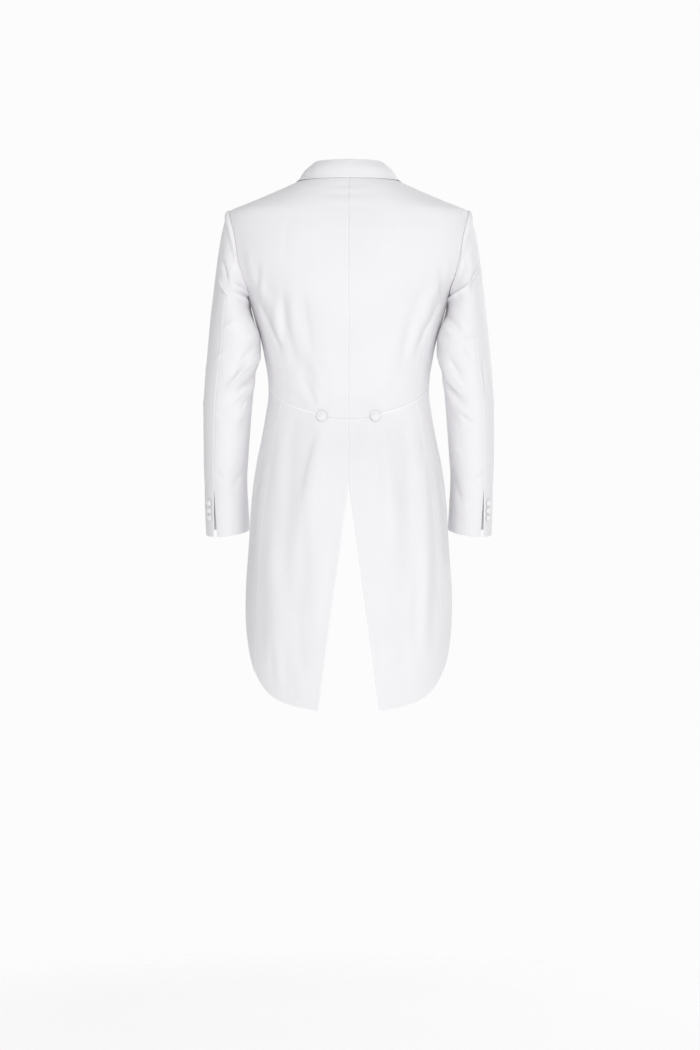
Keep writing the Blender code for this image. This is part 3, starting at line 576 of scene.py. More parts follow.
        def run(share: Array) -> Array:
            turns = start + (foot[0] - start) * np.asarray(share, float)
            heights = self.hem.read("turn_deg", "height", np.degrees(turns))
            last = self.hem.read("turn_deg", "height", math.degrees(foot[0]))
            return np.stack([turns, heights + (foot[1] - last) * np.asarray(share) ** 12], axis=-1)

        return run

    def vent_edge(self) -> Edge:
        """Centre edge of the tail: the vent up to its top, then the centre back seam to the waist."""
        low, high = self.hem_edge()(np.array([0.0]))[0], self.waist_edge(0.0, 1.0)(np.array([0.0]))[0, 1]

        def run(share: Array) -> Array:
            heights = low[1] + (high - low[1]) * np.asarray(share, float)
            opening = self.vent_half_opening * np.clip((self.vent_top - heights) / (self.vent_top - low[1]), 0, 1)
            turns = self.body.turn_at(opening, heights)
            last = self.body.turn_at(self.vent_half_opening, low[1])
            return np.stack([turns + (low[0] - last) * (1 - np.asarray(share)) ** 12, heights], axis=-1)

        return run


# Relief


@dataclass(frozen=True)
class Creases:
    """Soft troughs (depth below zero) and ridges, each from one place to another as seen from one side.

    Each row is (across 0, height 0, across 1, height 1, bow, half width, skew, depth) in millimetres.
    """

    facing: Facing
    rows: tuple[tuple[float, ...], ...]
    strength: float = 1.0
    narrowing: float = 1.0
    crisp: float = 0.0

    def lift(self, points: Array, normals: Array) -> Array:
        """Sum of depth * taper(share along) * profile(s = distance across / half width), in metres.

        The profile is exp(-s^2), mixed by the crispness with exp(0.14 - sqrt(2.25 s^2 + 0.02)), whose
        top is sharp. The half width is wider on one side by the skew, and the line is bowed by
        4 bow t (1 - t).
        """
        first, second, out, sign = self.facing.value
        flat = points[..., [first, second]] * 1000.0
        toward = normals[..., out] * sign
        if self.facing is Facing.OUTER:
            toward = toward * np.sign(points[..., 0])
        seen = ramp(toward, -0.05, 0.25)
        lift = np.zeros(points.shape[:-1])
        for x0, z0, x1, z1, bow, half, skew, depth in self.rows:
            along = np.array([x1 - x0, z1 - z0], float)
            length = np.linalg.norm(along)
            place = flat - np.array([x0, z0])
            t = place @ along / length**2
            across = (place[..., 1] * along[0] - place[..., 0] * along[1]) / length - bow * 4 * t * (1 - t)
            width = half * self.narrowing * np.where(across > 0, 1 - skew, 1 + skew)
            taper = ramp(t, -0.12, 0.42) * (1 - ramp(t, 0.58, 1.12))
            s = across / width
            sharp = np.exp(0.1414 - np.sqrt(2.25 * s * s + 0.02))
            profile = (1 - self.crisp) * np.exp(-(s**2)) + self.crisp * sharp
            lift += 0.001 * self.strength * depth * taper * profile
        return lift * seen


@dataclass(frozen=True)
class Waves:
    """Very soft unevenness all over the cloth: long sine waves, and narrower ones that run down it."""

    height: float = 0.0003
    streak: float = 0.00022
    seeds: tuple[tuple[float, float, float, float], ...] = (
        (61.0, 17.0, 23.0, 0.4),
        (-38.0, 44.0, 31.0, 1.9),
        (22.0, -71.0, 12.0, 3.1),
        (87.0, 29.0, -41.0, 5.0),
    )
    streaks: tuple[tuple[float, float, float, float], ...] = (
        (148.0, 120.0, 9.0, 0.7),
        (203.0, -160.0, -14.0, 2.6),
        (-262.0, 190.0, 11.0, 4.4),
        (331.0, 240.0, -17.0, 1.2),
    )

    def lift(self, points: Array) -> Array:
        """height / 4 * sum of sin(k . p + phase), and the same for the streaks, swelling and fading."""
        total = sum(np.sin(points @ np.array(s[:3]) + s[3]) for s in self.seeds)
        down = sum(np.sin(points @ np.array(s[:3]) + s[3]) for s in self.streaks)
        swelling = 0.6 + 0.4 * np.sin(points @ np.array([31.0, 22.0, 27.0]) + 0.9)
        return self.height * total / len(self.seeds) + self.streak * swelling * down / len(self.streaks)


@dataclass(frozen=True)
class Seams:
    """Profiles of the cloth beside its edges, and the painted highlight and shade beside them, by the distance from
    the edge in metres.
    """

    groove: float = 0.00018
    over: float = 0.00080
    pressed: float = 0.00038
    under: float = 0.00015

    def lift(self, finish: EdgeFinish, d: Array) -> Array:
        """Height of the cloth beside an edge with this finish."""
        if finish is EdgeFinish.SEWN:
            return -self.groove * bump(d, 0, 0.0009) + 0.00011 * bump(d, 0.0032, 0.0018)
        if finish is EdgeFinish.LAPPED_OVER:
            return self.over * bump(d, 0.0008, 0.0024)
        if finish is EdgeFinish.PRESSED_OVER:
            return self.pressed * bump(d, 0.0008, 0.0020)
        if finish is EdgeFinish.LAPPED_UNDER:
            return -self.under * bump(d, 0, 0.0016)
        return 0.00025 * bump(d, 0.0022, 0.0020) - 0.00018 * bump(d, 0.0070, 0.0012)

    def tone(self, finish: EdgeFinish, d: Array) -> Array:
        """Painted light beside the edge: a painted highlight (above zero) along lapped, pressed and turned edges and
        just beside seams, and painted shade (below zero) in the seam grooves and at edges lapped under.
        """
        if finish is EdgeFinish.SEWN:
            return 0.18 * bump(d, 0.0016, 0.0009) - 0.5 * bump(d, 0, 0.0005)
        if finish is EdgeFinish.LAPPED_UNDER:
            return -0.45 * bump(d, 0, 0.0007)
        strength = {EdgeFinish.LAPPED_OVER: 1.0, EdgeFinish.PRESSED_OVER: 0.45}.get(finish, 0.25)
        return strength * bump(d, 0.0006, 0.0014)


@dataclass(frozen=True)
class ClothSheet:
    """A thin piece of cloth with rounded rims, made from the grid of its outside points."""

    name: str
    nodes: tuple[str, ...]
    points: Array
    normals: Array
    finishes: dict[str, EdgeFinish]
    slot: str = "coat_cloth"
    held: str = "hung"
    rests_on: tuple[str, ...] = ()
    thickness: float = 0.0013
    rim: float = 0.0009
    seam_gap: float = 0.00004
    creases: tuple[Creases, ...] = ()
    extra: Array | None = None
    lap_from: float = 0.0
    waves: Waves = field(default_factory=Waves)
    seams: Seams = field(default_factory=Seams)

    def distances(self) -> dict[str, Array]:
        """How far each point is from each edge, measured along its row or column."""
        across = np.linalg.norm(np.diff(self.points, axis=1), axis=-1)
        upward = np.linalg.norm(np.diff(self.points, axis=0), axis=-1)
        left = np.concatenate([np.zeros((len(self.points), 1)), np.cumsum(across, axis=1)], axis=1)
        low = np.concatenate([np.zeros((1, self.points.shape[1])), np.cumsum(upward, axis=0)], axis=0)
        return {"left": left, "right": left[:, -1:] - left, "bottom": low, "top": low[-1:] - low}

    def stands(self, finish: EdgeFinish) -> Array | float:
        """How far a lapped edge stands up: a fifth of it nearer the middle than where the lap begins."""
        if finish is not EdgeFinish.LAPPED_OVER or self.lap_from == 0.0:
            return 1.0
        return 0.2 + 0.8 * ramp(np.abs(self.points[..., 0]), self.lap_from - 0.004, self.lap_from + 0.004)

    def flat_size(self) -> tuple[float, float, float]:
        """(width, length, area) of the flat cut: the longest row and column, and the area laid out."""
        d = self.distances()
        a, b = np.diff(self.points, axis=1)[:-1], np.diff(self.points, axis=0)[:, :-1]
        area = float(np.linalg.norm(np.cross(a, b), axis=-1).sum())
        width, length = float(d["left"].max()), float(d["bottom"].max())
        scale = max(1.0, math.sqrt(area / (0.999 * width * length)))
        return round(width * scale + 0.0005, 3), round(length * scale + 0.0005, 3), area

    def build(self, material: bpy.types.Material) -> bpy.types.Object:
        """Makes the mesh object: outside = form + relief, inside one thickness below, joined by a rim."""
        d = self.distances()
        lift = self.waves.lift(self.points)
        for creases in self.creases:
            lift = lift + creases.lift(self.points, self.normals)
        if self.extra is not None:
            lift = lift + self.extra
        rounding = np.zeros(lift.shape)
        for edge, finish in self.finishes.items():
            lift = lift + self.stands(finish) * self.seams.lift(finish, d[edge])
        for edge, distance in d.items():
            sewn = self.finishes.get(edge) in (EdgeFinish.SEWN, EdgeFinish.LAPPED_UNDER)
            part = np.clip(1 - distance / self.rim, 0, 1)
            rounding = np.maximum(rounding, (1 - np.sqrt(1 - 0.82 * part**2)) * (0.3 if sewn else 1.0))
        pinch = rounding * self.thickness * 0.62
        base = self.points.copy()
        for edge, (at, beside) in {
            "bottom": (np.s_[0, :], np.s_[1, :]),
            "top": (np.s_[-1, :], np.s_[-2, :]),
            "left": (np.s_[:, 0], np.s_[:, 1]),
            "right": (np.s_[:, -1], np.s_[:, -2]),
        }.items():
            if edge in self.finishes and self.finishes[edge] is not EdgeFinish.TURNED:
                base[at] += unit(base[beside] - base[at]) * self.seam_gap
        outside = base + self.normals * (lift - pinch)[..., None]
        inside = base + self.normals * (lift - self.thickness + pinch)[..., None]
        return self.shell(outside, inside, d, material)

    def shell(self, outside: Array, inside: Array, d: dict[str, Array], material: bpy.types.Material) -> bpy.types.Object:
        """Closed mesh between the two grids, with a UV map in metres along the cloth and the painted edge highlight
        and shade as a point attribute.
        """
        rows, columns = outside.shape[:2]
        count = rows * columns
        index = np.arange(count).reshape(rows, columns)
        quads = np.stack([index[:-1, :-1], index[:-1, 1:], index[1:, 1:], index[1:, :-1]], axis=-1).reshape(-1, 4)
        rim = np.concatenate([index[0, :-1], index[:-1, -1], index[-1, :0:-1], index[:0:-1, 0]])
        following = np.roll(rim, -1)
        sides = np.stack([following, rim, rim + count, following + count], axis=-1)
        faces = np.concatenate([quads, quads[:, ::-1] + count, sides])
        slopes = np.cross(outside[:-1, 1:] - outside[:-1, :-1], outside[1:, :-1] - outside[:-1, :-1])
        if np.sum(slopes * self.normals[:-1, :-1]) < 0:
            faces = faces[:, ::-1]
        vertices = np.concatenate([outside.reshape(-1, 3), inside.reshape(-1, 3)])
        uv = np.stack([d["left"].ravel(), d["bottom"].ravel()], axis=-1)
        made = mesh_object(self.name, vertices, faces, np.concatenate([uv, uv]), material)
        # Painted highlight along lapped, pressed and turned edges and painted shade in the seam grooves, stored on
        # the points for the cloth's colour.
        painted_lights = [self.stands(finish) * self.seams.tone(finish, d[edge]) for edge, finish in self.finishes.items()]
        tone = np.clip(sum(painted_lights), -1, 1).ravel()
        shade = made.data.attributes.new("edge_tone", "FLOAT", "POINT")
        shade.data.foreach_set("value", np.concatenate([tone, tone]).astype(np.float32))
        return made


def mesh_object(
    name: str, vertices: Array, faces: Array, uv: Array | None, material: bpy.types.Material
) -> bpy.types.Object:
    """Smooth mesh object from whole arrays of quads.

    Args:
        name: the object's name.
        vertices: (n, 3) places in metres.
        faces: (m, 4) vertex numbers.
        uv: (n, 2) map in metres along the cloth, or None.
        material: its only material.

    Returns:
        The object, linked to the scene.
    """
    mesh = bpy.data.meshes.new(name)
    mesh.vertices.add(len(vertices))
    mesh.vertices.foreach_set("co", np.ascontiguousarray(vertices, dtype=np.float32).ravel())
    mesh.loops.add(faces.size)
    mesh.loops.foreach_set("vertex_index", np.ascontiguousarray(faces, dtype=np.int32).ravel())
    mesh.polygons.add(len(faces))
    mesh.polygons.foreach_set("loop_start", np.arange(0, faces.size, 4, dtype=np.int32))
    mesh.polygons.foreach_set("use_smooth", np.ones(len(faces), dtype=bool))
    if uv is not None:
        layer = mesh.uv_layers.new(name="cloth")
        layer.data.foreach_set("uv", np.ascontiguousarray(uv[faces.ravel()], dtype=np.float32).ravel())
    mesh.update(calc_edges=True)
    mesh.validate()
    mesh.materials.append(material)
    made = bpy.data.objects.new(name, mesh)
    bpy.context.scene.collection.objects.link(made)
    return made


# Creases, read from the photo on the back and placed on the other sides

BODY_BACK = Creases(
    Facing.BACK,
    (
        # left of the back, between the sleeve and the shoulder blade
        (175, -169, 170, -229, 0.0, 5.7, 0, -1.6),
        (162, -180, 171, -248, 0.0, 4.9, 0.2, 1.9),
        (154, -210, 162, -267, 0.0, 4.2, 0, -1.4),
        (147, -218, 153, -297, 0.0, 6.4, 0, -1.8),
        (137, -221, 136, -323, 0.0, 7.6, 0, 1.8),
        (122, -214, 126, -342, 0.0, 7.6, 0.3, -2.7),
        (109, -221, 105, -348, 0.0, 9.4, 0, 2.0),
        (90, -218, 68, -369, 0.0, 9.4, -0.3, -2.3),
        (60, -237, 43, -403, 0.0, 13.2, 0, 1.5),
        (44, -318, 24, -430, 0.0, 22.0, 0, 2.6),
        (98, -345, 62, -438, 0.0, 14.0, 0.2, -3.4),
        (76, -330, 50, -430, 0.0, 9.0, 0, 1.9),
        (115, -63, 128, -184, 0.0, 4.2, 0.5, -0.9),
        (194, -131, 179, -221, 0.0, 6.6, 0, 1.4),
        (205, -150, 190, -218, 0.0, 4.5, 0, -0.8),
        # from the left waist button
        (60, -452, 94, -384, 1.9, 4.9, 0, -1.3),
        (54, -448, 73, -391, 1.9, 4.2, 0, 1.1),
        (66, -454, 115, -395, 2.8, 6.0, 0, 1.1),
        (71, -457, 126, -416, 1.9, 5.3, 0, -0.9),
        (45, -448, 34, -403, 0.0, 4.2, 0, -0.6),
        # left tail
        (58, -476, 94, -631, 5.7, 10.4, -0.5, -2.8),
        (45, -478, 66, -631, 3.8, 15.1, 0.3, 2.2),
        (49, -476, 37, -503, 0.0, 3.4, 0, -1.0),
        (41, -473, 17, -501, 0.0, 3.8, 0, -0.6),
        (145, -501, 149, -739, 0.0, 9.4, 0.2, -2.8),
        (151, -735, 158, -905, 0.0, 9.4, 0, -1.6),
        (164, -565, 171, -830, 0.0, 7.6, 0, 1.9),
        (85, -622, 85, -822, 0.0, 11.3, 0, -2.1),
        (52, -622, 62, -886, 0.0, 17.0, 0, 1.6),
        (109, -618, 107, -822, 0.0, 11.3, 0, 1.7),
        (124, -886, 117, -1007, 0.0, 6.6, 0, -1.1),
        (102, -905, 90, -1011, 0.0, 9.4, 0, 1.3),
        (130, -754, 137, -981, 0.0, 11.3, 0, 1.2),
        (24, -660, 54, -905, 0.0, 7.6, 0, -0.8),
        (149, -886, 145, -981, 0.0, 7.6, 0, -1.2),
        # right of the back
        (-174, -184, -180, -252, 0.0, 6.8, 0.4, -2.2),
        (-165, -180, -168, -255, 0.0, 7.6, 0, 1.3),
        (-153, -210, -157, -305, 0.0, 9.4, 0, 1.1),
        (-140, -237, -144, -380, 0.0, 7.6, 0, -1.1),
        (-116, -255, -108, -342, 0.0, 5.7, 0, -0.9),
        (-127, -331, -131, -373, 0.0, 6.6, 0, -0.9),
        (-189, -159, -185, -206, 0.0, 4.7, 0, 1.2),
        # from the right waist button
        (-57, -448, -97, -391, -1.9, 4.9, 0, -1.2),
        (-65, -450, -117, -405, -1.9, 5.7, 0, 1.1),
        (-72, -454, -129, -429, -1.9, 4.9, 0, -0.9),
        (-44, -446, -34, -403, 0.0, 4.5, 0, -0.6),
        (-38, -452, -2, -425, 0.0, 6.8, 0, 0.8),
        (-51, -446, -68, -395, 0.0, 4.5, 0, 0.7),
        # right tail
        (-44, -478, -59, -612, -1.9, 7.6, 0.3, -1.6),
        (-55, -478, -82, -678, -3.8, 13.2, 0, 1.9),
        (-32, -478, -25, -565, 0.0, 7.6, 0, 0.6),
        (-142, -501, -134, -573, 0.0, 5.7, 0.3, -1.3),
        (-133, -707, -123, -915, 0.0, 7.6, 0, -1.7),
        (-146, -697, -142, -915, 0.0, 8.5, 0, 1.7),
        (-167, -728, -153, -931, 0.0, 9.4, 0, -1.9),
        (-180, -792, -167, -939, 0.0, 7.6, 0, 1.1),
        (-97, -792, -93, -1003, 0.0, 17.0, 0, 0.9),
        (-112, -811, -104, -981, 0.0, 9.4, 0, -0.8),
        (-51, -735, -74, -1007, 0.0, 17.0, 0, 0.8),
        (-116, -508, -108, -697, 0.0, 15.1, 0, -1.0),
        # ripples under the collar
        (47, -25, -36, -23, 0.0, 3.2, 0, -0.6),
        (39, -34, -27, -33, 0.0, 3.4, 0, 0.6),
        (54, -44, -40, -42, 0.0, 3.8, 0, -0.8),
        (43, -57, -34, -55, 0.0, 5.7, 0, 0.7),
        (58, -70, -48, -68, 0.0, 5.7, 0, -0.5),
    ),
    strength=0.92,
    narrowing=1.12,
)
BODY_FRONT = Creases(
    Facing.FRONT,
    (
        (172, -180, 150, -250, 2.0, 7.0, 0, -1.8),
        (162, -170, 138, -232, 2.0, 6.0, 0, 1.5),
        (165, -255, 128, -318, 0.0, 6.0, 0, -1.4),
        (160, -285, 126, -352, 0.0, 6.5, 0, 1.2),
        (150, -330, 120, -368, 0.0, 5.0, 0, -1.0),
        (140, -395, 112, -424, 1.0, 5.0, 0, -1.1),
        (146, -420, 112, -440, 1.0, 5.5, 0, 1.0),
        (128, -440, 96, -500, 0.0, 8.0, 0, -0.9),
        (-170, -176, -152, -244, -2.0, 6.5, 0, -1.6),
        (-160, -165, -141, -225, -2.0, 6.5, 0, 1.4),
        (-163, -262, -130, -322, 0.0, 6.5, 0, -1.3),
        (-158, -296, -124, -356, 0.0, 6.0, 0, 1.3),
        (-142, -400, -114, -428, -1.0, 5.0, 0, -1.0),
        (-145, -428, -110, -446, -1.0, 5.5, 0, 0.9),
        (-124, -446, -98, -503, 0.0, 8.0, 0, -0.9),
    ),
)
BODY_OUTER = Creases(
    Facing.OUTER,
    (
        (40, -520, 30, -700, 0.0, 11.0, 0, -1.6),
        (16, -500, 14, -730, 0.0, 12.0, 0, 1.3),
        (60, -560, 54, -820, 0.0, 10.0, 0, 1.3),
        (20, -300, 26, -390, 0.0, 8.0, 0, -1.1),
        (-10, -290, 2, -385, 0.0, 8.0, 0, 1.0),
    ),
)
SLEEVE_BACK = Creases(
    Facing.BACK,
    (
        # left sleeve: behind the shoulder, at the elbow, and towards the cuff
        (241, -165, 224, -216, 1.9, 4.9, 0.2, -2.6),
        (249, -195, 226, -239, 1.9, 4.9, 0.2, 3.1),
        (220, -210, 184, -237, -1.9, 3.6, 0, 2.3),
        (209, -222, 182, -245, -1.9, 3.0, 0, -2.1),
        (224, -226, 188, -246, -1.9, 4.2, 0, 1.6),
        (213, -340, 173, -298, -1.9, 5.7, 0, 1.6),
        (222, -393, 175, -321, -3.8, 5.7, 0.3, -2.6),
        (232, -416, 169, -347, -5.7, 8.0, 0.2, 3.2),
        (215, -420, 179, -389, -1.9, 4.9, 0, -1.8),
        (228, -448, 179, -397, -3.8, 6.9, 0, 2.0),
        (207, -456, 180, -414, -1.9, 4.9, 0, -1.6),
        (215, -477, 182, -439, -1.9, 6.5, 0, 1.2),
        (253, -454, 228, -462, 0.0, 3.8, 0, -1.1),
        (257, -355, 234, -340, 0.0, 5.7, 0, 0.9),
        (241, -298, 211, -279, 0.0, 7.6, 0, 0.9),
        (234, -564, 207, -541, 0.0, 7.6, 0, 0.8),
        (257, -564, 238, -580, 0.0, 5.7, 0, -0.8),
        (222, -606, 196, -557, -1.9, 7.6, 0, -1.2),
        # right sleeve
        (-179, -246, -233, -205, 2.9, 4.0, 0.2, 3.0),
        (-183, -235, -229, -208, 2.9, 3.6, 0, -2.8),
        (-189, -241, -238, -203, 2.9, 4.6, 0, 1.4),
        (-229, -208, -252, -165, 1.9, 4.2, 0, -2.4),
        (-238, -205, -255, -168, 0.0, 4.6, 0, 1.8),
        (-227, -227, -252, -184, 0.0, 4.2, 0, -2.0),
        (-248, -226, -257, -195, 0.0, 3.8, 0, -1.2),
        (-185, -262, -219, -305, 1.9, 6.1, 0, -2.2),
        (-196, -252, -227, -290, 1.9, 5.7, 0, 1.4),
        (-185, -283, -212, -325, 1.9, 5.7, 0, 1.3),
        (-191, -344, -223, -408, 1.9, 6.9, 0.3, -2.6),
        (-183, -366, -217, -423, 3.8, 6.1, 0, 2.4),
        (-185, -395, -221, -443, 1.9, 5.7, 0, -1.5),
        (-202, -439, -240, -469, 1.9, 5.7, 0, 1.8),
        (-208, -456, -244, -477, 1.9, 4.2, 0, -1.2),
        (-212, -326, -233, -349, 0.0, 4.9, 0, -1.6),
        (-210, -323, -248, -311, -1.9, 4.9, 0, 1.5),
        (-255, -347, -263, -427, 0.0, 4.9, 0, -1.2),
        (-189, -507, -215, -538, 0.0, 7.6, 0, 0.8),
        (-238, -581, -254, -561, 0.0, 4.6, 0, 1.0),
        (-196, -564, -219, -633, 1.9, 7.6, 0, -1.4),
    ),
    strength=2.25,
    narrowing=0.95,
    crisp=0.7,
)
SLEEVE_FRONT = Creases(
    Facing.FRONT,
    (
        (190, -232, 232, -196, -2.0, 5.0, 0, -2.0),
        (194, -250, 240, -216, -2.0, 5.5, 0, 2.0),
        (196, -272, 236, -246, -2.0, 5.0, 0, -1.5),
        (184, -352, 240, -372, 3.0, 6.0, 0, -2.2),
        (183, -378, 246, -392, 4.0, 6.5, 0, 2.2),
        (186, -402, 238, -420, 4.0, 5.5, 0, -2.0),
        (188, -424, 246, -436, 3.0, 6.0, 0, 1.6),
        (190, -448, 232, -466, 2.0, 5.0, 0, -1.3),
        (198, -520, 246, -560, 2.0, 7.0, 0, -1.0),
        (202, -600, 244, -628, 0.0, 7.0, 0, 0.9),
        (-192, -228, -230, -200, 2.0, 5.0, 0, -2.1),
        (-192, -246, -238, -222, 2.0, 5.5, 0, 1.9),
        (-184, -346, -238, -362, -3.0, 6.0, 0, -2.0),
        (-184, -370, -246, -388, -4.0, 7.0, 0, 2.3),
        (-187, -398, -240, -412, -4.0, 5.5, 0, -2.1),
        (-190, -420, -244, -440, -3.0, 6.0, 0, 1.7),
        (-190, -452, -230, -470, -2.0, 5.0, 0, -1.2),
        (-200, -530, -240, -566, -2.0, 7.0, 0, -1.0),
    ),
)
SLEEVE_OUTER = Creases(
    Facing.OUTER,
    (
        (-46, -352, 8, -338, 2.0, 6.0, 0, -1.7),
        (-50, -380, 14, -370, 3.0, 6.5, 0, 1.8),
        (-48, -404, 10, -404, 3.0, 6.0, 0, -1.7),
        (-50, -428, 18, -440, 3.0, 7.0, 0, 1.4),
        (-46, -452, 8, -472, 2.0, 6.0, 0, -1.1),
        (30, -190, 44, -262, 2.0, 7.0, 0, -1.4),
        (-34, -180, -46, -255, 2.0, 7.0, 0, -1.2),
        (-58, -560, -18, -600, 0.0, 8.0, 0, -0.9),
    ),
)


# Pieces of the coat


@dataclass(frozen=True)
class Wardrobe:
    """What every piece needs: the surfaces, the cut and the finished materials."""

    body: BodySurface
    hole: Armhole
    cut: Cut
    materials: dict[str, bpy.types.Material]
    made: list[ClothSheet] = field(default_factory=list)

    def add(self, sheet: ClothSheet) -> bpy.types.Object:
        """Builds a sheet of cloth, lets it stand for its CAD nodes and logs the size of its flat cut."""
        piece = sheet.build(self.materials[sheet.slot])
        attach(piece, "root")
        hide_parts(*sheet.nodes)
        width, length, area = sheet.flat_size()
        list(sheet.rests_on)
        LOG.info("%s: cut %.0f x %.0f mm, %.4f m2", sheet.name, width * 1000, length * 1000, area)
        return piece

    def mirrored(self, points: Array, normals: Array, side: Side) -> tuple[Array, Array]:
        """The grid as it lies on the given side."""
        return (points, normals) if side is Side.LEFT else (points * FLIP, normals * FLIP)


@dataclass(frozen=True)
class BodyPanels:
    """Backs, sides, fronts and tails, all cut from the body surface."""

    shop: Wardrobe
    cell: float = 0.0029
    lap_from: float = 0.048

    def panel(
        self, name: str, grid: Array, finishes: dict[Side, dict[str, EdgeFinish]], rests_on: tuple[str, ...]
    ) -> None:
        """A left and a right panel from one grid of (turn, height)."""
        points, normals = self.shop.body.frame(grid[..., 0], grid[..., 1])
        for side in Side:
            here, facing = self.shop.mirrored(points, normals, side)
            self.shop.add(
                ClothSheet(
                    name=f"cloth_{name}_{side.word}",
                    nodes=(f"{name}_{side.word}",),
                    points=here,
                    normals=facing,
                    finishes=finishes[side],
                    rests_on=tuple(f"{r}_{side.word}" if r != "cloth_collar" else r for r in rests_on),
                    creases=(BODY_BACK, BODY_FRONT, BODY_OUTER),
                    lap_from=self.lap_from,
                )
            )

    def build(self) -> None:
        """Makes the ten panels."""
        cut, hole, body = self.shop.cut, self.shop.hole, self.shop.body
        sewn, turned = EdgeFinish.SEWN, EdgeFinish.TURNED
        over, under, pressed = EdgeFinish.LAPPED_OVER, EdgeFinish.LAPPED_UNDER, EdgeFinish.PRESSED_OVER
        foot, front_foot = cut.side_foot(), cut.front_foot()

        rows = spread(0.47, self.cell, (8 / 18,))
        columns = spread(0.20, self.cell, (4 / 12,))
        edges = (
            cut.waist_edge(0.0, foot[0]),
            joined((cut.neck_edge(), 4), (cut.shoulder_edge(from_tip=False), 8)),
            straight((0.0, cut.waist.column("height")[0]), (0.0, cut.neck_back)),
            joined((cut.side_back_edge(), 8), (hole.edge(hole.side_back, 0.0), 10)),
        )
        grid = body.shoulder_grid(Patch.of(edges, columns, rows), front=False)
        common = {"bottom": under, "top": sewn, "right": sewn}
        centre = {Side.LEFT: {**common, "left": pressed}, Side.RIGHT: {**common, "left": under}}
        self.panel("back", grid, centre, ("cloth_front",))

        rows, columns = spread(0.20, self.cell), spread(0.11, self.cell)
        edges = (
            cut.waist_edge(foot[0], front_foot[0]),
            hole.edge(hole.side_back, hole.underarm),
            cut.side_back_edge(),
            cut.underarm_edge(),
        )
        common = {"bottom": under, "top": sewn, "left": sewn, "right": sewn}
        self.panel("side", Patch.of(edges, columns, rows).blended(), {s: common for s in Side}, ("cloth_back",))

        weights = (3, 8, 10)
        total = sum(weights)
        rows = spread(0.52, self.cell, (3 / total, 11 / total))
        columns = spread(0.24, self.cell)
        drop, start = cut.front_point - cut.front_hem_side, math.radians(106)
        last = cut.front_edge(np.array([cut.front_point]))[0, 0]

        def hem(share: Array) -> Array:
            share = np.asarray(share, float)
            return np.stack([start + (last - start) * share, cut.front_hem_side + drop * share**1.6], axis=-1)

        edges = (
            hem,
            cut.shoulder_edge(from_tip=True),
            joined((cut.strap_edge(), 3), (cut.underarm_edge(), 8), (hole.edge(hole.underarm, 360.0), 10)),
            joined(
                (cut.front_run(cut.front_point, cut.lapel_break), 3),
                (cut.front_run(cut.lapel_break, cut.gorge_start[1]), 14),
                (cut.front_run(cut.gorge_start[1], 0.0), 4),
            ),
        )
        grid = body.shoulder_grid(Patch.of(edges, columns, rows), front=True)
        common = {"bottom": turned, "top": sewn, "left": sewn, "right": turned}
        self.panel("front", grid, {s: common for s in Side}, ("cloth_back",))

        rows = spread(0.55, self.cell, ((cut.vent_top - cut.hem_edge()(np.array([0.0]))[0, 1]) / 0.552,))
        columns = spread(0.15, self.cell)
        edges = (cut.hem_edge(), cut.waist_edge(0.0, foot[0]), cut.vent_edge(), cut.skirt_edge())
        common = {"bottom": turned, "top": over, "right": pressed}
        self.panel(
            "tail_back",
            Patch.of(edges, columns, rows).blended(),
            {Side.LEFT: {**common, "left": pressed}, Side.RIGHT: {**common, "left": turned}},
            ("cloth_back",),
        )

        rows, columns = spread(0.54, self.cell, (13 / 16,)), spread(0.12, self.cell)
        skirt, fore = cut.skirt_edge(), cut.tail_front_edge()
        low = np.array([0.0])
        edges = (
            straight(skirt(low)[0], fore(low)[0]),
            cut.waist_edge(foot[0], front_foot[0]),
            skirt,
            fore,
        )
        common = {"top": over, "left": under, "right": turned, "bottom": turned}
        self.panel("tail_side", Patch.of(edges, columns, rows).blended(), {s: common for s in Side}, ("cloth_side",))


